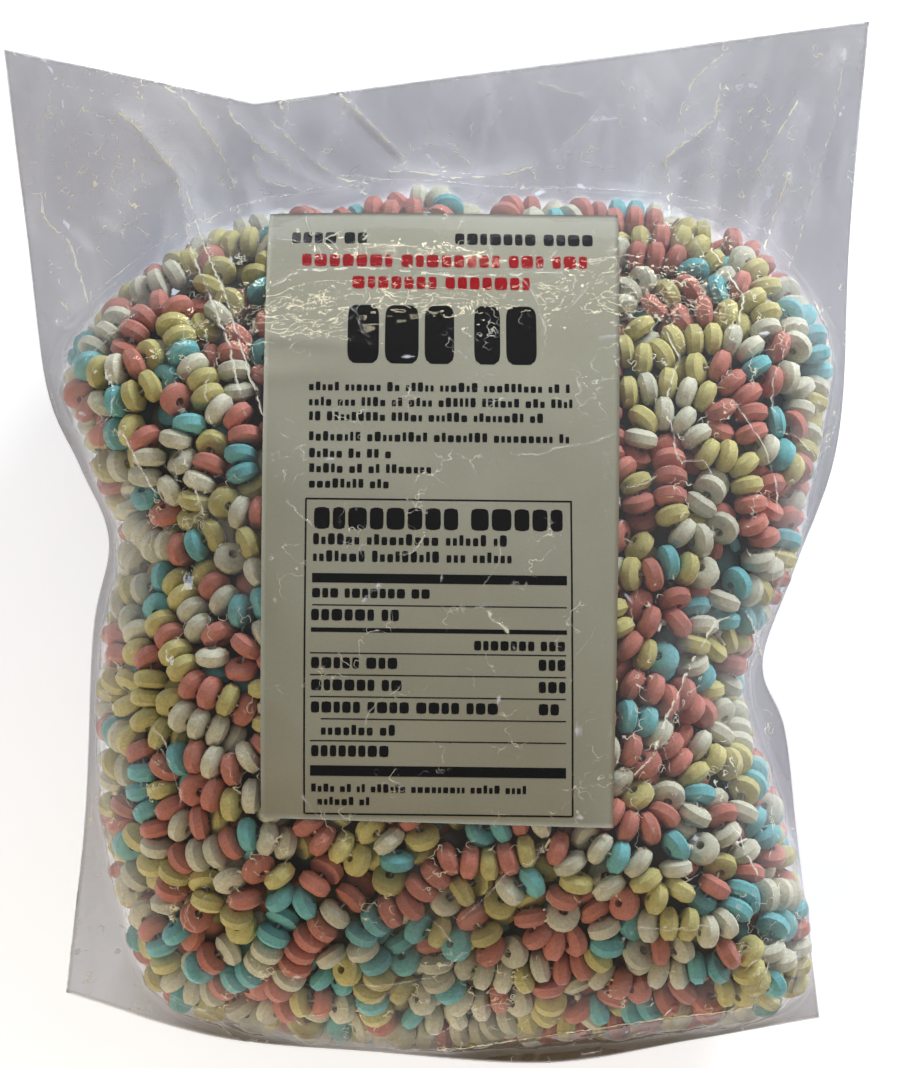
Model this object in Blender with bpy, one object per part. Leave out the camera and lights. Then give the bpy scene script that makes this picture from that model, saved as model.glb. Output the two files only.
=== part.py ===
# A clear sealed bag filled with candy necklaces, with a paper label, lying on its back on a table.
# Metres, +Z up. +X is the bag's right and +Y its empty top end. The origin is on the table, under the
# middle of the bag. The bag is one solid out to the film, with the strings of beads that show in relief.
import math
import random

import bmesh
import bpy
import numpy as np
from mathutils import Matrix, Vector

MM = 0.001

# Driving dimensions, in millimetres
CREST = 94.0  # highest point of the filled bag above the table
CREST_AT = -70.0  # where along the bag the crest is
CREST_FALL_TOP = 72.0  # how far the crest line falls over 180 mm towards the top end
CREST_FALL_BOTTOM = 20.0  # and over 90 mm towards the bottom end
SEAM_HEIGHT = 32.0  # the side seams, above the table, beside the filled part
TAIL_HEIGHT = 5.0  # the empty film at the top end, above the table
SHOULDER = 66.0  # how far in from its edge the filled part reaches its full height
TAIL_SHOULDER = 20.0  # the same at the top end of the filled part
BELLY = 30.0  # how far in from its edge the filled part lies flat on the table
ROUNDNESS = 2.2  # exponent of the shoulder's curve: 2 is a circle
FILM = 0.9  # thickness of the empty film, as a solid
TAIL_WAVE = 1.2  # height of the waves in the empty film
TAIL_WAVE_LENGTH = 74.0
VALLEY_DEPTH = 6.0  # the folds that run in from the bag's waist
VALLEY_WIDTH = 11.0
RELIEF = 3.8  # how far the bead strings stand out of the core
RELIEF_EDGE = 8.0  # width of the filled part's edge over which the core sinks by that

BEAD_DIAMETER = 10.4
BEAD_THICKNESS = 5.9
BEAD_FACE = 5.6  # diameter of the bead's flat faces
BEAD_SIDES = 6
BEAD_PITCH = 5.7  # along a string, so that neighbours overlap a little and fuse
STRING_GAP = 9.7  # between the middles of beads on two strings
MOST_BEADS = 300
SHORTEST_STRING, LONGEST_STRING = 4, 19  # beads
TIGHTEST_BEND = 34.0  # radius of a string's arc
BEAD_TO_HEAP_EDGE = 4.5
BEAD_TO_LABEL = 6.0
STRING_TRIES = 4000
SEED = 600

LABEL_LEFT, LABEL_RIGHT = -52.3, 55.2
LABEL_BOTTOM, LABEL_TOP = -85.3, 99.5
LABEL_SKEW = 2.2  # the label's lower end lies this far to the left
LABEL_THICKNESS = 0.4
LABEL_GAP = 0.8
LABEL_MARGIN = 12.0  # width of the step from the label's bed down to the core

CENTRE = (0.0, -20.0)  # the rings of the bag's mesh run round this point
HEAP_RINGS = [0.22, 0.44, 0.62, 0.76, 0.87, 0.95, 1.0]  # shares of the way out to the heap's edge
FILM_RINGS = [0.4, 1.0]  # shares of the way from there to the film's edge
FILM_SPACING = 15.5  # between the mesh's points along the film's edge, about
LABEL_COLUMNS, LABEL_ROWS = 14, 26

# The corners of the film seen from above, counter-clockwise from its bottom left
FILM_EDGE = [
    (-116.4, -143.3), (-70.0, -157.2), (34.9, -166.1), (120.9, -151.2), (111.0, -62.0), (102.5, -39.4),
    (127.2, 29.0), (139.5, 166.1), (-57.0, 140.0), (-139.5, 157.5), (-124.3, 40.3), (-102.6, -1.0),
    (-108.8, -28.0),
]

# The edge of the filled part, counter-clockwise from the middle of its bottom
HEAP_EDGE = [
    (4.0, -158.0), (79.0, -152.5), (109.0, -143.0), (115.5, -118.0), (107.5, -80.0), (97.0, -45.0),
    (113.0, -7.0), (122.5, 38.0), (125.0, 64.0), (106.0, 92.0), (77.0, 107.0), (24.0, 110.0),
    (-4.0, 113.5), (-43.0, 108.5), (-84.0, 92.0), (-118.0, 58.0), (-108.0, 21.0), (-99.5, -2.0),
    (-105.5, -40.0), (-104.0, -91.0), (-88.0, -139.0), (-33.0, -156.0),
]

# The two folds in from the waist, each from the side towards the label
VALLEYS = [((101.0, -40.0), (62.0, -78.0)), ((-101.0, -2.0), (-66.0, -22.0))]


def smoothstep(t):
    t = np.clip(t, 0.0, 1.0)
    return t * t * (3 - 2 * t)


def rounded_loop(corners, steps=6):
    # A closed Catmull-Rom curve through the corners
    points = []
    count = len(corners)
    for i in range(count):
        a, b, c, d = (np.array(corners[(i + k) % count]) for k in (-1, 0, 1, 2))
        for step in range(steps):
            t = step / steps
            points.append(
                0.5 * (2 * b + (c - a) * t + (2 * a - 5 * b + 4 * c - d) * t**2 + (3 * b - a - 3 * c + d) * t**3)
            )
    return np.array(points)


HEAP_LOOP = rounded_loop(HEAP_EDGE)


def depth_inside_heap(x, y):
    # Distance from the filled part's edge, positive inside it
    a = HEAP_LOOP
    b = np.roll(HEAP_LOOP, -1, axis=0)
    p = np.array([x, y])
    along = b - a
    t = np.clip(((p - a) * along).sum(1) / (along**2).sum(1), 0, 1)
    nearest = np.hypot(*(a + along * t[:, None] - p).T).min()
    crosses = (a[:, 1] > y) != (b[:, 1] > y)
    at_x = a[crosses, 0] + (y - a[crosses, 1]) * along[crosses, 0] / along[crosses, 1]
    return nearest if (at_x > x).sum() % 2 else -nearest


def seam_height(x, y):
    height = SEAM_HEIGHT + (TAIL_HEIGHT - SEAM_HEIGHT) * smoothstep((y - 15) / 95)
    wave = math.sin(math.tau * (x + 0.4 * y) / TAIL_WAVE_LENGTH)
    return height + TAIL_WAVE * wave * smoothstep((y - 100) / 25)


def shoulder(depth, width):
    t = np.clip(depth / width, 0.0, 1.0)
    return (1 - (1 - t) ** ROUNDNESS) ** (1 / ROUNDNESS)


def valley(x, y):
    depth = 0.0
    for start, end in VALLEYS:
        a, b, p = np.array(start), np.array(end), np.array([x, y])
        t = np.clip((p - a) @ (b - a) / ((b - a) @ (b - a)), 0, 1)
        off = np.hypot(*(a + (b - a) * t - p))
        depth += VALLEY_DEPTH * (1 - 0.5 * t) * math.exp(-((off / VALLEY_WIDTH) ** 2))
    return depth


def top_height(x, y):
    # Height of the film over the contents
    depth = depth_inside_heap(x, y)
    seam = seam_height(x, y)
    if y > CREST_AT:
        crest = CREST - CREST_FALL_TOP * ((y - CREST_AT) / 180) ** 2
    else:
        crest = CREST - CREST_FALL_BOTTOM * ((y - CREST_AT) / 90) ** 2
    width = SHOULDER + (TAIL_SHOULDER - SHOULDER) * smoothstep((y - 20) / 80)
    rise = shoulder(depth, width)
    return seam + FILM / 2 + (crest - seam) * rise - valley(x, y) * rise


def bottom_height(x, y):
    # The underside lies flat on the table and rises to the seam
    belly = BELLY * (1 - 0.4 * smoothstep((y - 40) / 60))
    return (seam_height(x, y) - FILM / 2) * (1 - shoulder(depth_inside_heap(x, y), belly))


def label_centre_x(y):
    # The label leans a little, so its middle shifts along its length
    return (LABEL_LEFT + LABEL_RIGHT) / 2 - LABEL_SKEW * (LABEL_TOP - y) / (LABEL_TOP - LABEL_BOTTOM)


def distance_from_label(x, y):
    half = (LABEL_RIGHT - LABEL_LEFT) / 2
    aside = max(abs(x - label_centre_x(y)) - half, 0.0)
    beyond = max(LABEL_BOTTOM - y, y - LABEL_TOP, 0.0)
    return math.hypot(aside, beyond)


def core_height(x, y):
    # The core lies below the film by the relief of the strings, except in the label's bed
    clear_of_edge = smoothstep(depth_inside_heap(x, y) / RELIEF_EDGE)
    clear_of_label = smoothstep(distance_from_label(x, y) / LABEL_MARGIN)
    return top_height(x, y) - RELIEF * clear_of_edge * clear_of_label


def film_edge_points():
    points = []
    for start, end in zip(FILM_EDGE, FILM_EDGE[1:] + FILM_EDGE[:1]):
        a, b = np.array(start), np.array(end)
        steps = round(np.hypot(*(b - a)) / FILM_SPACING)
        points += [a + (b - a) * k / steps for k in range(steps)]
    return np.array(points)


def heap_edge_towards(point, centre):
    # Where the way from the centre to this point leaves the filled part, found by halving
    nearer, further = 0.0, 1.0
    for _ in range(20):
        share = (nearer + further) / 2
        inside = depth_inside_heap(*(centre + (point - centre) * share)) > 0
        nearer, further = (share, further) if inside else (nearer, share)
    return centre + (point - centre) * nearer


def ring_layout():
    # The bag seen from above, as rings of points round its centre
    centre = np.array(CENTRE)
    film_edge = film_edge_points()
    heap_edge = np.array([heap_edge_towards(point, centre) for point in film_edge])
    count = len(film_edge)
    rings = [centre + (heap_edge - centre) * share for share in HEAP_RINGS]
    rings += [heap_edge + (film_edge - heap_edge) * share for share in FILM_RINGS]
    points = [centre] + [point for ring in rings for point in ring]
    faces = [(0, 1 + k, 1 + (k + 1) % count) for k in range(count)]
    for inner in range(1, 1 + (len(rings) - 1) * count, count):
        for k in range(count):
            n = (k + 1) % count
            faces.append((inner + k, inner + count + k, inner + count + n, inner + n))
    border = range(len(points) - count, len(points))
    return points, faces, list(border)


def grid_layout(columns, rows, place):
    # A sheet seen from above, as rows and columns of points
    points = [place(i / columns, j / rows) for j in range(rows + 1) for i in range(columns + 1)]
    wide = columns + 1
    faces = [(k, k + 1, k + wide + 1, k + wide) for j in range(rows) for k in range(j * wide, j * wide + columns)]
    border = list(range(columns)) + [j * wide + columns for j in range(rows)]
    border += [rows * wide + i for i in range(columns, 0, -1)] + [j * wide for j in range(rows, 0, -1)]
    return points, faces, border


def make_collection(name):
    collection = bpy.data.collections.new(name)
    bpy.context.scene.collection.children.link(collection)
    return collection


def make_material(name, colour, roughness):
    material = bpy.data.materials.new(name)
    material.use_nodes = True
    shader = material.node_tree.nodes["Principled BSDF"]
    shader.inputs["Base Color"].default_value = (*colour, 1.0)
    shader.inputs["Roughness"].default_value = roughness
    shader.inputs["Metallic"].default_value = 0.0
    return material


def closed_sheet(name, layout, upper, lower, collection, material):
    # An upper and a lower side over the same points, closed round the border
    points, faces, border = layout
    bm = bmesh.new()
    over = [bm.verts.new((x * MM, y * MM, upper(x, y) * MM)) for x, y in points]
    under = [bm.verts.new((x * MM, y * MM, lower(x, y) * MM)) for x, y in points]
    for face in faces:
        bm.faces.new([over[k] for k in face])
        bm.faces.new([under[k] for k in reversed(face)])
    for k, n in zip(border, border[1:] + border[:1]):
        bm.faces.new((under[k], under[n], over[n], over[k]))
    mesh = bpy.data.meshes.new(name)
    bm.to_mesh(mesh)
    bm.free()
    mesh.materials.append(material)
    sheet = bpy.data.objects.new(name, mesh)
    collection.objects.link(sheet)
    return sheet


def make_bead_mesh(material):
    # A pressed-sugar bead, its axis along Z: two short cones, base to base
    bm = bmesh.new()
    for side in (1, -1):
        bmesh.ops.create_cone(
            bm, cap_ends=True, segments=BEAD_SIDES, depth=BEAD_THICKNESS / 2 * MM,
            radius1=BEAD_DIAMETER / 2 * MM, radius2=BEAD_FACE / 2 * MM,
            matrix=Matrix.Diagonal((1, 1, side, 1)) @ Matrix.Translation((0, 0, BEAD_THICKNESS / 4 * MM)),
        )
    bmesh.ops.remove_doubles(bm, verts=bm.verts, dist=0.01 * MM)
    inner = [f for f in bm.faces if all(abs(v.co.z) < 0.01 * MM for v in f.verts)]
    bmesh.ops.delete(bm, geom=inner, context="FACES_ONLY")
    bmesh.ops.recalc_face_normals(bm, faces=bm.faces)
    mesh = bpy.data.meshes.new("bead")
    bm.to_mesh(mesh)
    bm.free()
    mesh.materials.append(material)
    return mesh


def surface_frame(x, y):
    # A point of the film, with the direction out of the bag there
    step = 1.5
    slope_x = (top_height(x + step, y) - top_height(x - step, y)) / (2 * step)
    slope_y = (top_height(x, y + step) - top_height(x, y - step)) / (2 * step)
    return Vector((x, y, top_height(x, y))), Vector((-slope_x, -slope_y, 1)).normalized()


def lay_strings():
    # Strings of beads in arcs under the film, clear of the label and of each other
    draw = random.Random(SEED)
    placed = []
    for _ in range(STRING_TRIES):
        if len(placed) >= MOST_BEADS:
            break
        x, y = draw.uniform(-122, 127), draw.uniform(-156, 110)
        heading = draw.uniform(0, math.tau)
        turn = draw.uniform(-1, 1) * BEAD_PITCH / TIGHTEST_BEND
        others = np.array([middle for middle, _ in placed] or [(0, 0, -1000)])
        string = []
        while len(string) < LONGEST_STRING:
            point, out = surface_frame(x, y)
            middle = point - out * (BEAD_DIAMETER / 2)
            if depth_inside_heap(x, y) < BEAD_TO_HEAP_EDGE:
                break
            if distance_from_label(middle.x, middle.y) < BEAD_TO_LABEL:
                break
            if np.linalg.norm(others - middle, axis=1).min() < STRING_GAP:
                break
            ahead = Vector((math.cos(heading), math.sin(heading), 0))
            along = (ahead - out * ahead.dot(out)).normalized()
            string.append((middle, along))
            x += along.x * BEAD_PITCH
            y += along.y * BEAD_PITCH
            heading += turn
        if len(string) >= SHORTEST_STRING:
            placed += string
    return placed


def fuse_strings(core, material):
    beads = make_collection("beads_to_fuse")
    mesh = make_bead_mesh(material)
    for middle, along in lay_strings():
        bead = bpy.data.objects.new("bead", mesh)
        bead.matrix_world = Matrix.Translation(middle * MM) @ along.to_track_quat("Z", "X").to_matrix().to_4x4()
        beads.objects.link(bead)
    union = core.modifiers.new("strings", "BOOLEAN")
    union.operation = "UNION"
    union.operand_type = "COLLECTION"
    union.collection = beads
    union.solver = "MANIFOLD"
    bpy.context.view_layer.update()
    fused = bpy.data.meshes.new_from_object(core.evaluated_get(bpy.context.evaluated_depsgraph_get()))
    core.modifiers.clear()
    core.data = fused
    for bead in list(beads.objects):
        bpy.data.objects.remove(bead)
    bpy.data.collections.remove(beads)


def smooth_shaded(sheet, degrees):
    sheet.data.shade_smooth()
    sheet.data.set_sharp_from_angle(angle=math.radians(degrees))


def make_label(collection, material):
    # The label lies on its bed in the core
    def place(u, v):
        y = LABEL_BOTTOM + (LABEL_TOP - LABEL_BOTTOM) * v
        return label_centre_x(y) + (LABEL_RIGHT - LABEL_LEFT) * (u - 0.5), y

    def underside(x, y):
        return top_height(x, y) + LABEL_GAP

    def upper_side(x, y):
        return underside(x, y) + LABEL_THICKNESS

    layout = grid_layout(LABEL_COLUMNS, LABEL_ROWS, place)
    label = closed_sheet("label", layout, upper_side, underside, collection, material)
    smooth_shaded(label, 40)


def build():
    for old in list(bpy.data.objects):
        bpy.data.objects.remove(old)
    bag_parts = make_collection("candy_necklace_bag")
    candy = make_material("pressed_sugar", (0.72, 0.52, 0.44), 0.6)
    paper = make_material("label_paper", (0.66, 0.65, 0.57), 0.5)
    bag = closed_sheet("bag", ring_layout(), core_height, bottom_height, bag_parts, candy)
    fuse_strings(bag, candy)
    make_label(bag_parts, paper)
    smooth_shaded(bag, 35)


build()
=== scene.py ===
# A clear sealed bag of candy necklaces, lying on its back on a pale table, seen from straight above.
# Sizes in the dictionaries are real millimetres. A mesh takes its place in metres, in the CAD's frame.
import math
import random

import bpy
import numpy as np
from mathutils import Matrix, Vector
from mathutils.kdtree import KDTree


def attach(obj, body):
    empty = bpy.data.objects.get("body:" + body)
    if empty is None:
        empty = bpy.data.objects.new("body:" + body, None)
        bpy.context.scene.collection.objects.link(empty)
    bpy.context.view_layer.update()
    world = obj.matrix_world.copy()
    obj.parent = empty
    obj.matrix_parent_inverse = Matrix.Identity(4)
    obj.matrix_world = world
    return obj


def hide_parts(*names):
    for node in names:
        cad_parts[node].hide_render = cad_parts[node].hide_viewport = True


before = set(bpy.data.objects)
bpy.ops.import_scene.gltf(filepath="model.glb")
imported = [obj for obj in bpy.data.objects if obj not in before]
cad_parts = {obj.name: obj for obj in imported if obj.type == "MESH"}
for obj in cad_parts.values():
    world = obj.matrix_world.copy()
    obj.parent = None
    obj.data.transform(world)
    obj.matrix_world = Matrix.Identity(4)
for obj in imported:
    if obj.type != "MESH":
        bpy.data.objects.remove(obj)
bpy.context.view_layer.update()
mm = 0.001


# The filled bag's form, as the CAD has it

bagShape = {
    "crest": 94.0,  # highest point of the filled part
    "crestAt": -70.0,
    "crestFallTop": (72.0, 180.0),  # how far it falls towards the top end, and over what length
    "crestFallBottom": (20.0, 90.0),
    "seamHeight": 32.0,
    "tailHeight": 5.0,
    "seamFalls": (15.0, 95.0),  # from where along the bag to the top end's height, and over what length
    "shoulder": 66.0,  # how far in from its edge the filled part is at its full height
    "tailShoulder": 20.0,
    "shoulderNarrows": (20.0, 80.0),
    "belly": 30.0,  # how far in from its edge the underside lies flat
    "bellyNarrows": (40.0, 60.0),
    "roundness": 2.2,
    "valleyDepth": 6.0,  # folds that run in from the waist
    "valleyWidth": 11.0,
    "fieldStep": 2.0,  # spacing of the grid that these heights are worked out on
    "fieldReach": (156, 184),  # and how far it goes each way from the middle
}

heapEdge = [  # the heap's outline, counter-clockwise from the middle of its bottom
    (4.0, -160.5), (81.0, -155.0), (113.0, -146.5), (116.5, -118.0), (107.5, -80.0), (97.0, -45.0),
    (113.0, -7.0), (122.5, 38.0), (125.0, 64.0), (106.0, 92.0), (77.0, 107.0), (24.0, 110.0),
    (-4.0, 113.5), (-43.0, 108.5), (-84.0, 92.0), (-118.0, 58.0), (-108.0, 21.0), (-99.5, -2.0),
    (-105.5, -40.0), (-104.0, -91.0), (-91.0, -139.0), (-67.0, -152.5), (-33.0, -159.0),
]

valleys = [((101.0, -40.0), (62.0, -78.0)), ((-101.0, -2.0), (-66.0, -22.0))]


def smoothStep(t):
    t = np.clip(t, 0.0, 1.0)
    return t * t * (3 - 2 * t)


def fade(value, start, over):
    # 0 up to the start, 1 past that length beyond it, and smooth between
    return smoothStep((value - start) / over)


def throughPoints(a, b, c, d, steps):
    # Catmull-Rom points from b towards c, between their neighbours a and d
    t = (np.arange(steps) / steps)[:, None]
    b, c = b[:, None], c[:, None]
    a, d = a[:, None], d[:, None]
    path = 0.5 * (2 * b + (c - a) * t + (2 * a - 5 * b + 4 * c - d) * t**2 + (3 * b - a - 3 * c + d) * t**3)
    return path.reshape(-1, 2)


def roundedLoop(corners, steps=6):
    points = np.array(corners)
    return throughPoints(*(np.roll(points, shift, axis=0) for shift in (1, 0, -1, -2)), steps)


def roundedPath(corners, steps=10):
    p = np.array(corners, float)
    p = np.vstack([2 * p[0] - p[1], p, 2 * p[-1] - p[-2]])
    return np.vstack([throughPoints(p[:-3], p[1:-2], p[2:-1], p[3:], steps), p[-2]])


def depthInside(x, y, loop):
    # distance from a closed outline, positive inside it
    nearest = np.full(x.shape, 1e9)
    crossings = np.zeros(x.shape, int)
    for a, b in zip(loop, np.roll(loop, -1, axis=0)):
        along = b - a
        t = np.clip(((x - a[0]) * along[0] + (y - a[1]) * along[1]) / (along @ along), 0, 1)
        nearest = np.minimum(nearest, np.hypot(a[0] + along[0] * t - x, a[1] + along[1] * t - y))
        if a[1] != b[1]:
            crosses = ((a[1] > y) != (b[1] > y)) & (a[0] + (y - a[1]) * along[0] / along[1] > x)
            crossings += crosses
    return np.where(crossings % 2 == 1, nearest, -nearest)


def distanceToStretch(x, y, start, end):
    # distance from a straight stretch, and how far along it the nearest point is, 0 to 1
    ax, ay = start
    dx, dy = end[0] - ax, end[1] - ay
    t = np.clip(((x - ax) * dx + (y - ay) * dy) / (dx * dx + dy * dy), 0, 1)
    return np.hypot(ax + dx * t - x, ay + dy * t - y), t


def shoulderCurve(depth, width):
    # how high the bag stands this far in from its edge, 0 to 1, like a quarter of an oval
    t = np.clip(depth / width, 0.0, 1.0)
    power = bagShape["roundness"]
    return (1 - (1 - t) ** power) ** (1 / power)


def makeFields():
    # heights of the bag over a grid seen from above
    s = bagShape
    step = s["fieldStep"]
    xs, ys = (np.arange(-reach, reach + 1, step) for reach in s["fieldReach"])
    x, y = np.meshgrid(xs, ys)
    depth = depthInside(x, y, roundedLoop(heapEdge))
    seam = s["seamHeight"] + (s["tailHeight"] - s["seamHeight"]) * fade(y, *s["seamFalls"])
    (fallTop, runTop), (fallBottom, runBottom) = s["crestFallTop"], s["crestFallBottom"]
    fall = np.where(y > s["crestAt"], fallTop / runTop**2, fallBottom / runBottom**2)
    crest = s["crest"] - fall * (y - s["crestAt"]) ** 2
    width = s["shoulder"] + (s["tailShoulder"] - s["shoulder"]) * fade(y, *s["shoulderNarrows"])
    rise = shoulderCurve(depth, width)
    fold = np.zeros_like(x)
    for start, end in valleys:
        off, t = distanceToStretch(x, y, start, end)
        fold += s["valleyDepth"] * (1 - 0.5 * t) * np.exp(-((off / s["valleyWidth"]) ** 2))
    high = seam + (crest - seam) * rise - fold * rise
    belly = s["belly"] * (1 - 0.4 * fade(y, *s["bellyNarrows"]))
    low = seam * (1 - shoulderCurve(depth, belly))
    made = {"x0": xs[0], "y0": ys[0], "step": step, "depth": depth, "seam": seam, "high": high, "low": low}
    for name in ("depth", "high", "low"):
        dy, dx = np.gradient(made[name], step)
        made[name + "X"], made[name + "Y"] = dx, dy
    return made


fields = makeFields()


def readField(name, x, y):
    # a field's height at any place, read between the grid's points
    grid = fields[name]
    u = np.clip((x - fields["x0"]) / fields["step"], 0, grid.shape[1] - 1.001)
    v = np.clip((y - fields["y0"]) / fields["step"], 0, grid.shape[0] - 1.001)
    i, j = u.astype(int), v.astype(int)
    u, v = u - i, v - j
    low = grid[j, i] * (1 - u) + grid[j, i + 1] * u
    high = grid[j + 1, i] * (1 - u) + grid[j + 1, i + 1] * u
    return low * (1 - v) + high * v


def steepness(name, x, y):
    # a field's slopes, and how much longer its surface is than its plan
    slopeX, slopeY = readField(name + "X", x, y), readField(name + "Y", x, y)
    return slopeX, slopeY, np.sqrt(1 + slopeX**2 + slopeY**2)


# The necklaces, packed into the bag as chains of beads

emptyBays = [  # hollows in the heap's top edge: middle and radius
    (-34.0, 124.0, 19.0), (44.0, 134.0, 25.0),
]

necklaces = {
    "count": 100,
    "beadsEach": 40,
    "pitch": 5.9,  # bead to bead along the elastic
    "knotGap": 9.5,  # the one wider gap, where the elastic is knotted
    "beadDiameter": 10.4,
    "clearance": 10.0,  # between the middles of beads on two strings, which nest a little
    "tightestBend": 11.2,  # least distance between beads that have one between them
    "mostOpen": 1.35,  # how far the elastic may stretch round a bend, as a share of the pitch
    "caught": 9.0,  # strings nearer than this are drawn apart square to both
    "flattest": 0.3,  # narrowest and roundest loop, as width over length
    "roundest": 0.9,
    "lean": 40.0,  # degrees that a loop's plane may lean from level
    "wobble": 5.0,
    "startsFrom": (-110, -150, 6),  # the block in which the loops' middles start
    "startsTo": (118, 104, 90),
    "startDepth": (16, 6),  # how far in from the heap's outline, and from its top and underside
    "startTries": 14,  # places for each, of which the one farthest from the others is taken
    "grows": (0.3, 0.75, 0.72),  # start size, what it gains, and in what share of the rounds
    "pairsEvery": 5,  # rounds between looking for beads that are close
    "pairsPast": 2.5,  # how far past touching they are looked for
    "shared": 0.45,  # of its pushes, by which a bead with many neighbours is moved less
    "bendPush": 0.25,
    "bendEasing": 0.04,
    "spread": 0.4,  # how far a round pushes beads near the film out against it
    "spreadDepth": 26.0,
    "offFloor": 0.4,
    "evenCell": 8.0,  # of the grid on which crowded places are told from empty ones
    "evenFrom": (-136.0, -172.0, -8.0),
    "evenSpan": (272.0, 292.0, 112.0),
    "evening": 0.25,
    "mostEvening": 0.4,  # that it moves a bead in a round
    "easing": 3.0,  # over the last third of the rounds both fade away
    "rounds": 900,
    "seed": 609,
}


def closePairs(points, reach):
    # every pair of points closer than reach, by sorting them into cubes of that size
    cell = np.floor((points - points.min(0)) / reach).astype(np.int64) + 1
    size = cell.max(0) + 2
    key = (cell[:, 2] * size[1] + cell[:, 1]) * size[0] + cell[:, 0]
    order = np.argsort(key, kind="stable")
    sortedKey = key[order]
    firsts, seconds = [], []
    for dz in (0, 1):
        for dy in (-1, 0, 1):
            for dx in (-1, 0, 1):
                offset = (dz * size[1] + dy) * size[0] + dx
                if offset < 0 or (dz == 0 and (dy, dx) < (0, 0)):
                    continue
                start = np.searchsorted(sortedKey, key + offset, "left")
                end = np.searchsorted(sortedKey, key + offset, "right")
                count = end - start
                first = np.repeat(np.arange(len(points)), count)
                within = np.arange(count.sum()) - np.repeat(np.cumsum(count) - count, count)
                second = order[np.repeat(start, count) + within]
                if offset == 0:
                    keep = first < second
                    first, second = first[keep], second[keep]
                firsts.append(first)
                seconds.append(second)
    first, second = np.concatenate(firsts), np.concatenate(seconds)
    near = ((points[first] - points[second]) ** 2).sum(1) < reach * reach
    return first[near], second[near]


def keepInBag(points, radius, spread):
    # moves the middles of beads back under the film, and those near it out towards it
    x, y = points[:, 0], points[:, 1]
    for name, side in (("high", 1.0), ("low", -1.0)):
        slopeX, slopeY, length = steepness(name, x, y)
        room = labelSheet["beadRoom"] * underLabel(x, y) if side > 0 else necklaces["offFloor"]
        short = radius + room - side * (readField(name, x, y) - points[:, 2]) / length
        near = np.clip(1 + short / necklaces["spreadDepth"], 0, 1)
        short = np.where(short > 0, short, np.maximum(short, -spread * near))
        points[:, 0] += side * short * slopeX / length
        points[:, 1] += side * short * slopeY / length
        points[:, 2] -= side * short / length
        x, y = points[:, 0], points[:, 1]
    short = np.maximum(radius - readField("depth", x, y), 0)
    towardsX, towardsY = readField("depthX", x, y), readField("depthY", x, y)
    length = np.maximum(np.hypot(towardsX, towardsY), 1e-6)
    points[:, 0] += short * towardsX / length
    points[:, 1] += short * towardsY / length
    for bayX, bayY, size in emptyBays:
        off = points[:, :2] - (bayX, bayY)
        far = np.hypot(*off.T)
        points[:, :2] += off * (np.maximum(size + radius - far, 0) / far)[:, None]


def blurred(grid):
    # each cell with a share of its neighbours
    for axis in range(3):
        padded = np.pad(grid, [(1, 1) if k == axis else (0, 0) for k in range(3)], mode="edge")
        count = grid.shape[axis]
        before, middle, after = (np.take(padded, range(k, k + count), axis=axis) for k in range(3))
        grid = (before + 2 * middle + after) / 4
    return grid


def roomInBag():
    # a coarse grid over the bag, and how much of each cell's surroundings is inside it
    cell, start = necklaces["evenCell"], np.array(necklaces["evenFrom"])
    shape = tuple(np.ceil(np.array(necklaces["evenSpan"]) / cell).astype(int))
    x, y, z = (start[k] + (index + 0.5) * cell for k, index in enumerate(np.indices(shape)))
    below = np.clip((readField("high", x, y) - z) / cell + 0.5, 0, 1)
    above = np.clip((z - readField("low", x, y)) / cell + 0.5, 0, 1)
    return start, shape, blurred(blurred(below * above * (readField("depth", x, y) > 0)))


def spreadOut(points, room, strength):
    # moves beads from crowded places towards emptier ones
    start, shape, space = room
    outer = space < 0.15  # cells with so little of the bag round them say nothing
    place = np.clip(((points - start) / necklaces["evenCell"]).astype(int), 0, np.array(shape) - 1)
    flat = np.ravel_multi_index(place.T, shape)
    crowd = blurred(blurred(np.bincount(flat, minlength=math.prod(shape)).reshape(shape).astype(float)))
    crowd = crowd / np.maximum(space, 0.15)
    usual = crowd[space > 0.9].mean()
    crowd = np.where(outer, usual, crowd) / usual
    most = necklaces["mostEvening"]
    for axis, slope in enumerate(np.gradient(crowd)):
        points[:, axis] -= np.clip(strength * slope.ravel()[flat], -most, most)


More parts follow.
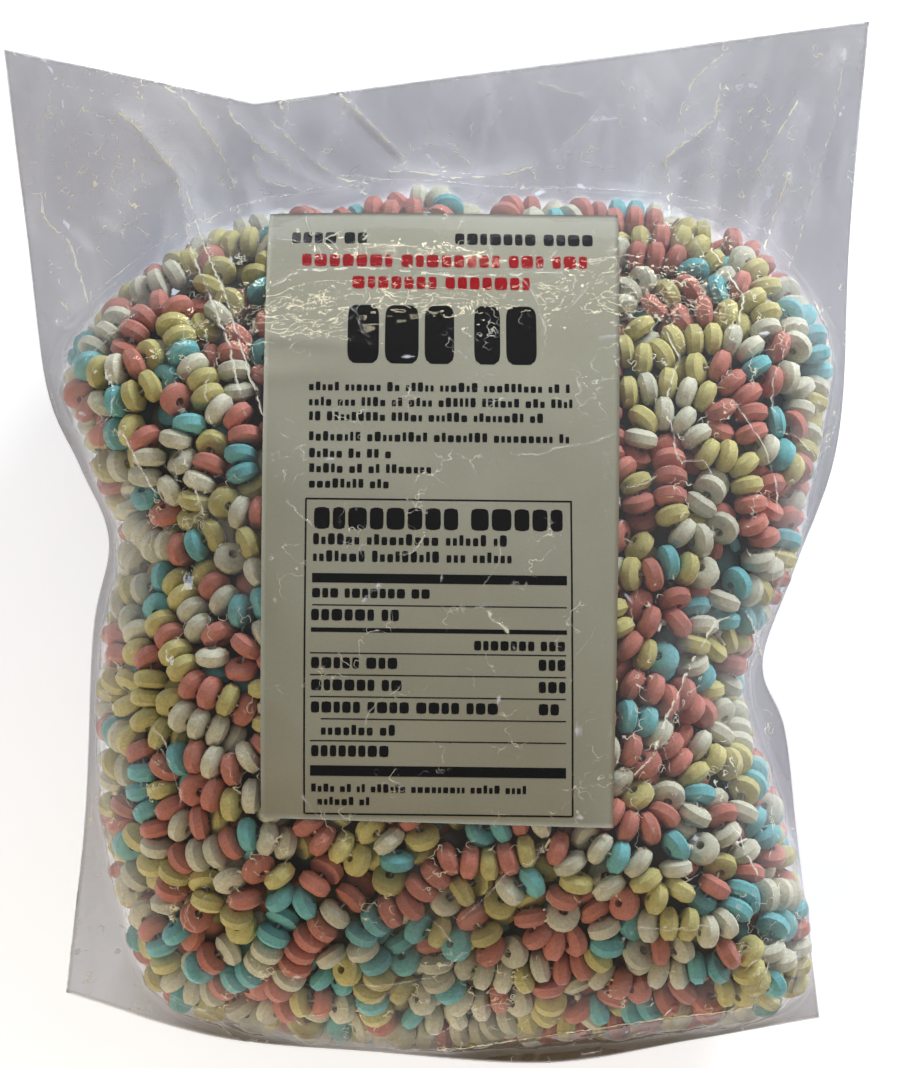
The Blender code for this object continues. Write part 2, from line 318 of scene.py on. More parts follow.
def layLoops(draw):
    # where each necklace starts: a leaning oval loop somewhere in the bag
    n = necklaces
    turns = np.linspace(0, 2 * math.pi, n["beadsEach"], endpoint=False)
    middles = []
    while len(middles) < n["count"]:
        tries = []
        while len(tries) < n["startTries"]:
            p = np.array([draw.uniform(*ends) for ends in zip(n["startsFrom"], n["startsTo"])])
            depth, low, high = (readField(name, p[:1], p[1:2])[0] for name in ("depth", "low", "high"))
            if depth > n["startDepth"][0] and min(high - p[2], p[2] - low) > n["startDepth"][1]:
                apart = (1, 1, 2.2)  # the loops lie rather flat, so height counts for more
                away = min((np.linalg.norm((p - q) * apart) for q in middles), default=0)
                tries.append((away, p))
        middles.append(max(tries, key=lambda pair: pair[0])[1])
    loops = []
    for middle in middles:
        ratio = draw.uniform(n["flattest"], n["roundest"])
        oval = np.stack([np.cos(turns), ratio * np.sin(turns), np.zeros_like(turns)], axis=1)
        for axis in range(3):
            for wave in (2, 3):
                oval[:, axis] += draw.gauss(0, n["wobble"] / 60) * np.sin(wave * turns + draw.uniform(0, 6.3))
        around = np.linalg.norm(oval - np.roll(oval, 1, axis=0), axis=1).sum()
        oval *= n["beadsEach"] * n["pitch"] / around
        spin = draw.uniform(0, 2 * math.pi)
        lean = math.radians(n["lean"]) * draw.random()
        to = draw.uniform(0, 6.3)
        ahead = np.array([math.cos(spin), math.sin(spin), 0])
        up = np.array([math.sin(lean) * math.cos(to), math.sin(lean) * math.sin(to), math.cos(lean)])
        ahead = ahead - up * (ahead @ up)
        ahead /= np.linalg.norm(ahead)
        loops.append(middle + oval @ np.stack([ahead, np.cross(up, ahead), up]))
    return np.array(loops)


def packNecklaces():
    # grows the beads from thin to full size while the strings push each other aside
    n = necklaces
    draw = random.Random(n["seed"])
    loops = np.round(layLoops(draw), 4)
    count, each = loops.shape[:2]
    rest = np.full((count, each), n["pitch"])
    rest[:, -1] = n["knotGap"]
    points = loops.reshape(-1, 3)
    number = np.arange(len(points))
    loopOf, placeIn = number // each, number % each
    radius = n["beadDiameter"] / 2
    room = roomInBag()
    start, gain, share = n["grows"]
    for turn in range(n["rounds"]):
        grown = min(1.0, start + gain * turn / (share * n["rounds"]))
        apart = n["clearance"] * grown
        if turn % n["pairsEvery"] == 0:
            first, second = closePairs(points, apart + n["pairsPast"])
            gap = np.abs(placeIn[first] - placeIn[second])
            gap = np.minimum(gap, each - gap)
            free = (loopOf[first] != loopOf[second]) | (gap > 1)
            first, second = first[free], second[free]
        delta = points[first] - points[second]
        push = np.maximum(apart - np.sqrt((delta**2).sum(1)), 0) / 2
        hit = push > 0
        one, other = first[hit], second[hit]
        move = squareToBoth(delta[hit], points, one, other, each) * push[hit][:, None]
        touches = np.bincount(one, minlength=len(points)) + np.bincount(other, minlength=len(points))
        shift = np.zeros_like(points)
        for axis in range(3):
            shift[:, axis] += np.bincount(one, move[:, axis], len(points))
            shift[:, axis] -= np.bincount(other, move[:, axis], len(points))
        points += shift / np.maximum(1.0, n["shared"] * touches)[:, None]
        loops = points.reshape(count, each, 3)
        straighten(loops, n["tightestBend"])
        opened = openBends(loops, rest)
        for _ in range(3):
            keepPitch(loops, opened)
        points = loops.reshape(-1, 3)
        left = min(1.0, n["easing"] * (1 - turn / n["rounds"]))
        spreadOut(points, room, n["evening"] * left)
        keepInBag(points, radius * min(1.0, grown + 0.2), n["spread"] * left)
        points = np.round(points, 4)  # so that no processor's last digits lead to another heap
    return points.reshape(count, each, 3)


def squareToBoth(delta, points, first, second, each):
    # the way in which two beads part: straight apart, but square to their strings if these are caught
    distance = np.linalg.norm(delta, axis=1) + 1e-9
    loops = points.reshape(-1, each, 3)
    lines = (np.roll(loops, -1, axis=1) - np.roll(loops, 1, axis=1)).reshape(-1, 3)
    lines /= np.linalg.norm(lines, axis=1, keepdims=True) + 1e-9
    one, other = lines[first], lines[second]
    alike = 1 + np.abs((one * other).sum(1))
    along = (delta * one).sum(1)[:, None] * one + (delta * other).sum(1)[:, None] * other
    caught = np.clip((necklaces["caught"] - distance) / 2, 0, 1)
    away = delta - along * (caught / alike)[:, None]
    return away / (np.linalg.norm(away, axis=1, keepdims=True) + 1e-6)


def openBends(loops, rest):
    # round a bend the elastic stretches until the beads on its inner side just touch
    n = necklaces
    span = np.linalg.norm(np.roll(loops, -1, axis=1) - np.roll(loops, 1, axis=1), axis=2)
    straight = np.clip(span / (2 * n["pitch"]), 0, 1)
    bent = np.sqrt(1 - straight**2)
    need = 2 * np.max([radius * bent + half * straight for radius, half in beadShape["profile"]], axis=0)
    need = (need + np.roll(need, -1, axis=1)) / 2
    return np.maximum(rest, np.minimum(need, n["mostOpen"] * n["pitch"]))


def straighten(loops, least):
    # no bend tighter than two beads' faces allow, and a little evening out
    ahead, behind = np.roll(loops, -1, axis=1), np.roll(loops, 1, axis=1)
    delta = ahead - behind
    distance = np.linalg.norm(delta, axis=2, keepdims=True) + 1e-9
    short = np.maximum(least - distance, 0) * delta / distance * necklaces["bendPush"]
    move = np.roll(short, 1, axis=1) - np.roll(short, -1, axis=1)
    loops += move + necklaces["bendEasing"] * ((ahead + behind) / 2 - loops)


def keepPitch(loops, rest):
    # every second gap, then the others, so that no bead is moved twice at once
    each = loops.shape[1]
    for start in (0, 1):
        i = np.arange(start, each, 2)
        j = (i + 1) % each
        delta = loops[:, j] - loops[:, i]
        distance = np.linalg.norm(delta, axis=2, keepdims=True) + 1e-9
        move = delta * (distance - rest[:, i, None]) / distance / 2
        loops[:, i] += move
        loops[:, j] -= move


# Small helpers for meshes and materials

def hexColour(text):
    # an sRGB hex colour as the linear numbers that a shader takes
    parts = [int(text[k:k + 2], 16) / 255 for k in (1, 3, 5)]
    return tuple(c / 12.92 if c <= 0.04045 else ((c + 0.055) / 1.055) ** 2.4 for c in parts) + (1.0,)


def addNode(tree, kind, settings=None, inputs=None):
    # a node with its settings and inputs by name or number, each a value, a socket or a node to read
    node = tree.nodes.new(kind)
    for name, value in (settings or {}).items():
        setattr(node, name, value)
    for key, value in (inputs or {}).items():
        if isinstance(value, bpy.types.Node):
            value = next(socket for socket in value.outputs if socket.enabled)
        if isinstance(value, bpy.types.NodeSocket):
            tree.links.new(value, node.inputs[key])
        else:
            node.inputs[key].default_value = value
    return node


def newMaterial(name):
    # an empty material, its tree, and the place on a piece that its patterns follow
    material = bpy.data.materials.new(name)
    material.use_nodes = True
    tree = material.node_tree
    tree.nodes.clear()
    return material, tree, addNode(tree, "ShaderNodeTexCoord").outputs["Object"]


def tintedSurface(tree, colour, shade, look):
    # a surface of this colour, darker and lighter by the shade
    tint = addNode(tree, "ShaderNodeMix", {"data_type": "RGBA", "blend_type": "MULTIPLY"},
                   {"Factor": 1.0, 6: colour, 7: shade})
    shader = addNode(tree, "ShaderNodeBsdfPrincipled", inputs={"Base Color": tint, **look})
    addNode(tree, "ShaderNodeOutputMaterial", inputs={"Surface": shader})


def grainyMaterial(name, finish, colour):
    # one colour that strays by the finish's grains, and on the beads from one to the next too
    material, tree, place = newMaterial(name)
    shade = 1.0
    for size, detail, *ends in finish["grains"]:
        noise = addNode(tree, "ShaderNodeTexNoise",
                        inputs={"Scale": 1 / (size * mm), "Detail": detail, "Vector": place})
        grain = addNode(tree, "ShaderNodeMapRange", inputs={0: noise, **dict(enumerate(ends, 1))})
        shade = addNode(tree, "ShaderNodeMath", {"operation": "MULTIPLY"}, {0: shade, 1: grain})
    if "batches" in finish:
        number = addNode(tree, "ShaderNodeAttribute", {"attribute_name": "beadNumber"}).outputs["Fac"]
        batch = addNode(tree, "ShaderNodeTexWhiteNoise", {"noise_dimensions": "1D"}, {"W": number})
        darkest, lightest = finish["batches"]
        batch = addNode(tree, "ShaderNodeMapRange", inputs={0: batch, 3: darkest, 4: lightest})
        shade = addNode(tree, "ShaderNodeMath", {"operation": "MULTIPLY"}, {0: shade, 1: batch})
    look = dict(finish["look"])
    if "relief" in finish:
        size, detail, strength, depth = finish["relief"]
        noise = addNode(tree, "ShaderNodeTexNoise",
                        inputs={"Scale": 1 / (size * mm), "Detail": detail, "Vector": place})
        look["Normal"] = addNode(tree, "ShaderNodeBump",
                                 inputs={"Strength": strength, "Distance": depth * mm, "Height": noise})
    tintedSurface(tree, hexColour(colour), shade, look)
    return material


def link(thing):
    bpy.context.scene.collection.objects.link(thing)
    return thing


def meshObject(name, points, faces, material=None, smooth=True):
    # points in millimetres, a row each; faces a list of lists
    mesh = bpy.data.meshes.new(name)
    mesh.from_pydata((np.asarray(points) * mm).tolist(), [], faces)
    mesh.update()
    if smooth:
        mesh.shade_smooth()
    if material:
        mesh.materials.append(material)
    return link(bpy.data.objects.new(name, mesh))


def storeOnPoints(mesh, name, values, kind="FLOAT"):
    attribute = mesh.attributes.new(name, kind, "POINT")
    key = "vector" if kind == "FLOAT_VECTOR" else "value"
    attribute.data.foreach_set(key, np.ascontiguousarray(values, dtype=np.float32).ravel())


def settle(piece, slotName):
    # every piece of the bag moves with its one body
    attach(piece, "root")


# The beads: pressed sugar, one mesh for each colour

beadShape = {
    "segments": 14,
    "sharpEdge": 32,  # degrees, past which an edge stays crisp, as at the rim's band
    "profile": [  # radius and height of one half, from the hole to the rim
        (1.45, 2.75), (2.6, 2.85), (4.15, 2.2), (5.2, 1.25),
    ],
    "sizeSpread": 0.03,  # bead to bead
    "unevenness": 0.1,  # how far the pressed surface strays
    "unevennessGrain": 2.6,  # across one of its lumps
    "repeats": 0.16,  # of the beads, which have the colour of the one before
    "seed": 7,
}

sugarColours = {
    "coral": {"share": 0.285, "colour": "#BC796D", "slot": "sugar_coral"},
    "yellow": {"share": 0.275, "colour": "#C0B87C", "slot": "sugar_yellow"},
    "white": {"share": 0.28, "colour": "#C9C8B6", "slot": "sugar_white"},
    "turquoise": {"share": 0.16, "colour": "#6FB2B9", "slot": "sugar_turquoise"},
}

# A finish's grains have their size, detail, the noise's two ends and how light each end is.
# Its relief has a size, detail, strength and depth.

pressedSugar = {  # pressed dextrose tablet: chalky and matte, specked where the colour took unevenly
    "grains": [(0.9, 1.5, 0.3, 0.7, 0.86, 1.1)],  # specks of about 1 mm, coarser than the real ones, to show
    "batches": (0.88, 1.1),  # how light whole beads are, from darkest to lightest
    "relief": (0.5, 1.5, 0.35, 0.12),
    "look": {"Roughness": 0.6, "IOR": 1.5},
}

showing = {
    "views": 60,  # directions, spread evenly round the bag
    "ballRadius": 4.7,  # a little under the bead's, so that gaps between beads stay open
    "pixel": 1.5,
    "leastPixels": 7,  # of a bead that counts as seen in a view
}


def depthUnderFilm(points):
    # how far each point is inside the filled part's nearest wall
    x, y, z = points.T
    depths = [readField("depth", x, y)]
    for name, side in (("high", 1), ("low", -1)):
        depths.append(side * (readField(name, x, y) - z) / steepness(name, x, y)[2])
    return np.min(depths, axis=0)


def showingBeads(points):
    # which beads show from any side, by drawing them as balls from many directions
    s = showing
    outer = np.nonzero(depthUnderFilm(points) < heapCore["inset"] + s["ballRadius"])[0]
    everyBead, points = len(points), points[outer]
    reach = int(s["ballRadius"] / s["pixel"]) + 1
    grid = np.arange(-reach, reach + 1)
    du, dv = (a.ravel() for a in np.meshgrid(grid, grid))
    seen = np.zeros(len(points), bool)
    for k in range(s["views"]):
        z = 1 - 2 * (k + 0.5) / s["views"]
        turn = k * math.pi * (3 - math.sqrt(5))
        out = np.array([math.cos(turn) * math.sqrt(1 - z * z), math.sin(turn) * math.sqrt(1 - z * z), z])
        side = np.cross(out, (0.3, 0.5, 0.8))
        side /= np.linalg.norm(side)
        up = np.cross(out, side)
        u, v, height = points @ side / s["pixel"], points @ up / s["pixel"], points @ out
        column = np.round(u).astype(int)[:, None] + du
        row = np.round(v).astype(int)[:, None] + dv
        off = ((column - u[:, None]) ** 2 + (row - v[:, None]) ** 2) * s["pixel"] ** 2
        bead, spot = np.nonzero(off < s["ballRadius"] ** 2)
        depth = height[bead] + np.sqrt(s["ballRadius"] ** 2 - off[bead, spot])
        place = (row[bead, spot] - row.min()) * (column.max() - column.min() + 1)
        place += column[bead, spot] - column.min()
        order = np.argsort(depth, kind="stable")
        winner = np.full(place.max() + 1, -1)
        winner[place[order]] = bead[order]
        seen |= np.bincount(winner[winner >= 0], minlength=len(points)) >= s["leastPixels"]
    shown = np.zeros(everyBead, bool)
    shown[outer[seen]] = True
    return shown


def beadMesh():
    # a turned ring: the profile mirrored and swept round the hole
    b = beadShape
    half = b["profile"]
    profile = [(r, -z) for r, z in half] + [(r, z) for r, z in reversed(half)]
    turns = np.arange(b["segments"]) * 2 * math.pi / b["segments"]
    points = [(r * math.cos(t), r * math.sin(t), z) for r, z in profile for t in turns]
    faces = []
    for k in range(len(profile)):
        for i in range(b["segments"]):
            j = (i + 1) % b["segments"]
            here, there = k * b["segments"], (k + 1) % len(profile) * b["segments"]
            faces.append([here + i, here + j, there + j, there + i])
    made = meshObject("beadPattern", points, faces)
    made.data.set_sharp_from_angle(angle=math.radians(b["sharpEdge"]))
    made.hide_render = True
    return made


def newTree(name, inputs):
    # a Geometry Nodes tree with geometry in and out, and its inputs' sockets by name
    tree = bpy.data.node_groups.new(name, "GeometryNodeTree")
    tree.interface.new_socket("Geometry", in_out="OUTPUT", socket_type="NodeSocketGeometry")
    for label, kind in {"Geometry": "Geometry", **inputs}.items():
        tree.interface.new_socket(label, in_out="INPUT", socket_type="NodeSocket" + kind)
    return tree, addNode(tree, "NodeGroupInput").outputs


def finishTree(tree, geometry, material):
    # ends a tree in real meshes of one material
    real = addNode(tree, "GeometryNodeRealizeInstances", inputs={"Geometry": geometry})
    made = addNode(tree, "GeometryNodeSetMaterial", inputs={"Geometry": real, "Material": material})
    addNode(tree, "NodeGroupOutput", inputs={"Geometry": made})


def runTree(carrier, tree, values):
    # sets the inputs by their identifiers, and turns the result into the carrier's plain mesh
    modifier = carrier.modifiers.new(tree.name, "NODES")
    modifier.node_group = tree
    for item in tree.interface.items_tree:
        if item.name in values:
            modifier[item.identifier] = values[item.name]
    bpy.context.view_layer.update()
    made = bpy.data.meshes.new_from_object(carrier.evaluated_get(bpy.context.evaluated_depsgraph_get()))
    carrier.modifiers.remove(modifier)
    old = carrier.data
    carrier.data = made
    bpy.data.meshes.remove(old)


def strungBeadsTree():
    # a bead on every point, its hole along the string, each pressed a little unevenly
    tree, given = newTree("strungBeads", {
        "Bead": "Object", "Size Spread": "Float", "Unevenness": "Float", "Grain": "Float",
        "Seed": "Int", "Sugar": "Material",
    })
    bead = addNode(tree, "GeometryNodeObjectInfo", inputs={"Object": given["Bead"]}).outputs["Geometry"]
    along = addNode(tree, "GeometryNodeInputNamedAttribute", {"data_type": "FLOAT_VECTOR"}, {"Name": "along"})
    lined = addNode(tree, "FunctionNodeAlignRotationToVector", {"axis": "Z"}, {"Vector": along})
    spin = addNode(tree, "FunctionNodeRandomValue", inputs={2: 0.0, 3: 2 * math.pi, "Seed": given["Seed"]})
    turned = addNode(tree, "FunctionNodeAxisAngleToRotation", inputs={"Axis": (0, 0, 1), "Angle": spin})
    both = addNode(tree, "FunctionNodeRotateRotation", {"rotation_space": "LOCAL"},
                   {"Rotation": lined, "Rotate By": turned})
    low, high = (addNode(tree, "ShaderNodeMath", {"operation": sign}, {0: 1.0, 1: given["Size Spread"]})
                 for sign in ("SUBTRACT", "ADD"))
    size = addNode(tree, "FunctionNodeRandomValue", inputs={2: low, 3: high, "Seed": given["Seed"]})
    strung = addNode(tree, "GeometryNodeInstanceOnPoints",
                     inputs={"Points": given["Geometry"], "Instance": bead, "Rotation": both, "Scale": size})
    number = addNode(tree, "GeometryNodeInputIndex")
    tagged = addNode(tree, "GeometryNodeStoreNamedAttribute", {"data_type": "FLOAT", "domain": "INSTANCE"},
                     {"Name": "beadNumber", "Geometry": strung, "Value": number})
    real = addNode(tree, "GeometryNodeRealizeInstances", inputs={"Geometry": tagged})
    place = addNode(tree, "GeometryNodeInputPosition")
    scale = addNode(tree, "ShaderNodeMath", {"operation": "DIVIDE"}, {0: 1.0, 1: given["Grain"]})
    lumps = addNode(tree, "ShaderNodeTexNoise", inputs={"Detail": 1.0, "Vector": place, "Scale": scale})
    centred = addNode(tree, "ShaderNodeVectorMath", {"operation": "SUBTRACT"},
                      {0: lumps.outputs["Color"], 1: (0.5, 0.5, 0.5)})
    by = addNode(tree, "ShaderNodeVectorMath", {"operation": "SCALE"},
                 {0: centred, "Scale": given["Unevenness"]})
    moved = addNode(tree, "GeometryNodeSetPosition", inputs={"Geometry": real, "Offset": by})
    finishTree(tree, moved, given["Sugar"])
    return tree


def colourBeads(count, draw):
    # a random string of colours in which a bead often repeats its neighbour's
    shares = [sugar["share"] for sugar in sugarColours.values()]
    picked = []
    for k in range(count):
        if k and draw.random() < beadShape["repeats"]:
            picked.append(picked[-1])
        else:
            picked.append(draw.choices(range(len(shares)), shares)[0])
    return np.array(picked)


def makeBeads(places, shown):
    along = np.roll(places, -1, axis=1) - np.roll(places, 1, axis=1)
    along = (along / np.linalg.norm(along, axis=2, keepdims=True)).reshape(-1, 3)
    points = places.reshape(-1, 3)
    b = beadShape
    colours = colourBeads(len(points), random.Random(b["seed"]))
    pattern, tree = beadMesh(), strungBeadsTree()
    for k, (name, sugar) in enumerate(sugarColours.items()):
        mine = shown & (colours == k)
        carrier = meshObject("beads_" + name, points[mine], [])
        storeOnPoints(carrier.data, "along", along[mine], "FLOAT_VECTOR")
        runTree(carrier, tree, {
            "Bead": pattern, "Size Spread": b["sizeSpread"], "Unevenness": b["unevenness"] * 2 * mm,
            "Grain": b["unevennessGrain"] * mm, "Seed": b["seed"] + k,
            "Sugar": grainyMaterial("pressedSugar_" + name, pressedSugar, sugar["colour"]),
        })
        settle(carrier, sugar["slot"])
        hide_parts("bag")
        print("beads", name, int(mine.sum()), "with", len(carrier.data.polygons) * 2, "triangles")
    bpy.data.objects.remove(pattern)


# The label sheet under the film, and its print as plain bars and blocks

labelSheet = {
    "corners": [(-52.9, 103.1), (57.8, 102.2), (53.2, -86.7), (-51.9, -83.6)],  # clockwise from its top left
    "thickness": 0.25,
    "lift": 0.3,  # of its back over the beads' reach
    "beadRoom": 0.9,  # how far the beads keep below it, so that it can sag between them
    "underFilm": 0.3,  # how far the film keeps above it
    "dent": 0.4,
    "dentSize": 26.0,
    "foldHeight": 0.7,
    "cell": 1.5,
    # darker than the off-white paper itself: shade painted into its colour
    "colour": "#999788",
    "slot": "label_paper",
}

coatedPaper = {  # coated label paper: smooth and faintly mottled, with a soft sheen
    "grains": [(22.0, 3.0, 0.3, 0.7, 0.95, 1.02), (0.8, 1.5, 0.3, 0.7, 0.97, 1.02)],
    "relief": (0.8, 1.5, 0.15, 0.1),  # its fibres are drawn coarser than they are, to show
    "look": {"Roughness": 0.38, "IOR": 1.5},
}

labelFolds = [  # where the paper was bent: half width, then its line
    (2.2, [(-54.0, 62.5), (-32.0, 60.0), (-8.0, 58.0)]),
    (3.0, [(-52.0, 78.0), (-41.0, 84.0)]),
    (3.5, [(-53.0, 50.0), (-38.0, 50.5), (-22.0, 54.0)]),
]


def softWaves(x, y, size, seed):
    # smooth random heights, mostly from -1 to 1, in lumps of about this size
    draw = np.random.default_rng(seed)
    total = np.zeros(np.shape(x))
    for _ in range(16):
        turn, phase = draw.uniform(0, 2 * math.pi, 2)
        wave = math.pi / (size * draw.uniform(0.7, 1.5))
        total += np.sin((x * math.cos(turn) + y * math.sin(turn)) * wave + phase)
    return np.clip(total / 4, -1, 1)


def besideLine(x, y, line):
    # distance from a polyline, on which side, and how far along it, 0 to 1
    line = np.array(line, float)
    lengths = np.hypot(*np.diff(line, axis=0).T)
    nearest, side, along = np.full(np.shape(x), 1e9), np.ones(np.shape(x)), np.zeros(np.shape(x))
    for k in range(len(lengths)):
        (ax, ay), (bx, by) = line[k], line[k + 1]
        off, t = distanceToStretch(x, y, line[k], line[k + 1])
        closer = off < nearest
        nearest = np.where(closer, off, nearest)
        side = np.where(closer, np.sign((bx - ax) * (y - ay) - (by - ay) * (x - ax)), side)
        along = np.where(closer, (lengths[:k].sum() + t * lengths[k]) / lengths.sum(), along)
    return nearest, side, along


def underLabel(x, y):
    # 1 beneath the label, falling to 0 just outside it
    return smoothStep(insideLabel(x, y) / 6 + 0.5)


def insideLabel(x, y):
    # how far in from the label's edges, negative off it
    return depthInside(x, y, np.array(labelSheet["corners"]))


def labelTop(x, y):
    # height of the label's printed face
    s = labelSheet
    up = readField("high", x, y) + s["lift"] + s["thickness"] - s["beadRoom"] / 2
    up = up + s["dent"] * softWaves(x, y, s["dentSize"], 11)
    for half, line in labelFolds:
        off, _, along = besideLine(x, y, line)
        up = up + s["foldHeight"] * np.exp(-((off / half) ** 2)) * (1 - along)
    return up


def onLabel(u, v):
    # a place on the label from its shares across and down
    a, b, c, d = (np.array(corner) for corner in labelSheet["corners"])
    u, v = u[..., None], v[..., None]
    return (a * (1 - u) + b * u) * (1 - v) + (d * (1 - u) + c * u) * v


def sheetFaces(rows, columns, start=0, flip=False):
    # quads of a grid whose points run along its rows
    i = np.arange(rows - 1)[:, None] * columns + np.arange(columns - 1)[None, :] + start
    quads = np.stack([i, i + columns, i + columns + 1, i + 1], axis=-1).reshape(-1, 4)
    return quads if flip else quads[:, ::-1]


def rimOf(rows, columns):
    # the grid's border points in order round it
    first = np.arange(columns)
    last = (rows - 1) * columns + first
    side = np.arange(1, rows - 1) * columns
    return np.concatenate([first, side + columns - 1, last[::-1], side[::-1]])


def slab(upper, lower):
    # a closed thin solid between two grids of the same size, upper over lower
    rows, columns = upper.shape[:2]
    count = rows * columns
    rim = rimOf(rows, columns)
    after = np.roll(rim, -1)
    walls = np.stack([rim, after, after + count, rim + count], axis=-1)
    points = np.concatenate([upper.reshape(-1, 3), lower.reshape(-1, 3)])
    return points, np.concatenate([sheetFaces(rows, columns), sheetFaces(rows, columns, count, True), walls])


def makeLabel():
    s = labelSheet
    wide, long = (math.dist(s["corners"][0], s["corners"][k]) for k in (1, 3))
    down, across = (np.linspace(0, 1, int(length / s["cell"])) for length in (long, wide))
    v, u = np.meshgrid(down, across, indexing="ij")
    plan = onLabel(u, 1 - v)
    top = labelTop(plan[..., 0], plan[..., 1])
    points, faces = slab(np.dstack([plan, top]), np.dstack([plan, top - s["thickness"]]))
    paper = grainyMaterial("coatedPaper", coatedPaper, s["colour"])
    label = meshObject("labelSheet", points, faces.tolist(), paper)
    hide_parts("label")
    settle(label, s["slot"])


labelPrint = {
    "left": -52.0,  # the rows below are measured from here
    "top": 102.7,
    "tilt": -0.012,  # the print runs a little downhill to the right
    "proud": 0.06,
    "cell": 1.6,
    "black": "#060608",
    "red": "#8A0D15",
    "seed": 21,
}

printingInk = {  # offset ink on coated paper: dense, nearly without shine, with faint thin spots
    "grains": [(1.1, 3.0, 0.35, 0.75, 1.0, 1.5)],
    "look": {"Roughness": 0.42, "Specular IOR Level": 0.05},
}

printRows = [  # how far down its middle is, left end, right end, height, style
    (8.2, 6.8, 32.3, 3.9, "wide"), (8.2, 58.1, 103.0, 3.9, "wide"),
    (15.6, 10.2, 99.4, 4.2, "redWide"), (22.8, 26.0, 82.4, 4.2, "redWide"),
    (39.4, 24.9, 58.7, 18.6, "block"), (39.4, 64.0, 85.7, 18.6, "block"),
    (56.0, 13.3, 94.5, 3.0, "small"), (60.7, 13.4, 94.4, 3.0, "small"), (65.3, 13.5, 85.2, 3.0, "small"),
    (71.5, 13.6, 94.2, 3.1, "small"), (76.7, 13.7, 38.6, 3.0, "small"), (81.3, 13.8, 51.3, 3.0, "small"),
    (85.9, 13.8, 39.3, 3.0, "small"),
    (96.5, 15.5, 91.8, 6.6, "heavy"), (102.8, 15.3, 74.9, 3.5, "small"), (107.9, 15.3, 76.6, 3.5, "small"),
    (114.5, 15.1, 91.6, 2.8, "bar"), (119.0, 15.1, 51.4, 2.9, "wide"), (122.6, 15.2, 91.5, 0.35, "bar"),
    (125.5, 14.9, 41.2, 3.5, "wide"), (130.0, 14.9, 91.5, 1.3, "bar"), (134.2, 63.7, 91.2, 2.9, "wide"),
    (136.9, 14.7, 91.2, 0.35, "bar"), (139.8, 15.0, 43.1, 3.4, "wide"), (139.8, 83.0, 91.0, 3.4, "wide"),
    (143.4, 14.7, 91.1, 0.35, "bar"), (146.4, 15.0, 42.8, 3.4, "wide"), (146.4, 83.0, 91.0, 3.4, "wide"),
    (149.9, 14.7, 91.1, 0.35, "bar"), (153.0, 15.0, 70.8, 3.4, "wide"), (153.0, 83.0, 91.0, 3.4, "wide"),
    (156.5, 18.0, 91.1, 0.35, "bar"), (159.7, 18.0, 40.7, 3.3, "small"), (163.0, 14.8, 91.1, 0.35, "bar"),
    (166.0, 15.1, 38.3, 3.4, "wide"), (171.9, 14.8, 91.1, 3.1, "bar"),
    (177.0, 15.1, 80.6, 2.7, "small"), (180.9, 16.9, 33.8, 2.7, "small"),
    (90.7, 13.0, 93.3, 0.5, "bar"), (184.8, 13.3, 93.0, 0.5, "bar"),
]

printStyles = {  # ink, a block's width and the gap after it over the row's height, blocks in a word
    "small": ("black", (0.32, 0.62), 0.2, (2, 9)),
    "wide": ("black", (0.55, 0.95), 0.2, (3, 8)),
    "redWide": ("red", (0.55, 0.95), 0.2, (3, 8)),
    "heavy": ("black", (0.55, 0.9), 0.14, (5, 9)),
    "block": ("black", (0.42, 0.56), 0.1, (5, 5)),
}

printFrame = [(13.0, 90.7, 184.8), (93.1, 90.7, 184.8)]  # its two upright rules: across, top and bottom


def inkSlab(left, right, down, height, corner):
    # one printed shape as a thin solid on the label, with its corners a little rounded
    s = labelPrint
    across = max(2, int((right - left) / s["cell"]) + 2)
    deep = max(2, int(height / s["cell"]) + 2)
    t, r = np.meshgrid(np.linspace(-1, 1, deep), np.linspace(-1, 1, across), indexing="ij")
    x = s["left"] + (left + right) / 2 + r * (1 - corner * t**8) * (right - left) / 2
    y = s["top"] - down + t * (1 - corner * r**8) * height / 2 + s["tilt"] * (x - s["left"])
    top = labelTop(x, y)
    return slab(np.dstack([x, y, top + s["proud"]]), np.dstack([x, y, top - s["proud"]]))


def printedRow(draw, down, left, right, height, style):
    # the row's blocks, in groups like words, with no letter's shape
    if style == "bar":
        return "black", [(left, right, down, height, 0.0)]
    ink, width, gap, word = printStyles[style]
    blocks, x, letters = [], left, draw.randint(*word)
    while x < right - width[0] * height:
        wide = min(draw.uniform(*width) * height, right - x)
        tall = height * draw.choice((0.72, 0.72, 0.72, 1.0, 1.0)) if style == "small" else height
        blocks.append((x, x + wide, down + (height - tall) / 2, tall, 0.12))
        x += wide + gap * height
        letters -= 1
        if letters == 0:
            x += 0.45 * height
            letters = draw.randint(*word)
    return ink, blocks


def makePrint():
    draw = random.Random(labelPrint["seed"])
    shapes = {"black": [], "red": []}
    for row in printRows:
        ink, blocks = printedRow(draw, *row)
        shapes[ink] += [inkSlab(*block) for block in blocks]
    for across, top, bottom in printFrame:
        shapes["black"].append(inkSlab(across - 0.25, across + 0.25, (top + bottom) / 2, bottom - top, 0.0))
    for ink, made in shapes.items():
        starts = np.cumsum([0] + [len(points) for points, _ in made])
        points = np.concatenate([points for points, _ in made])
        faces = np.concatenate([faces + start for (_, faces), start in zip(made, starts)])
        look = grainyMaterial(ink + "PrintingInk", printingInk, labelPrint[ink])
        piece = meshObject(ink + "Print", points, faces.tolist(), look, smooth=False)
        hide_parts("label")
        settle(piece, ink + "_ink")
        print(ink, "print of", len(made), "shapes")
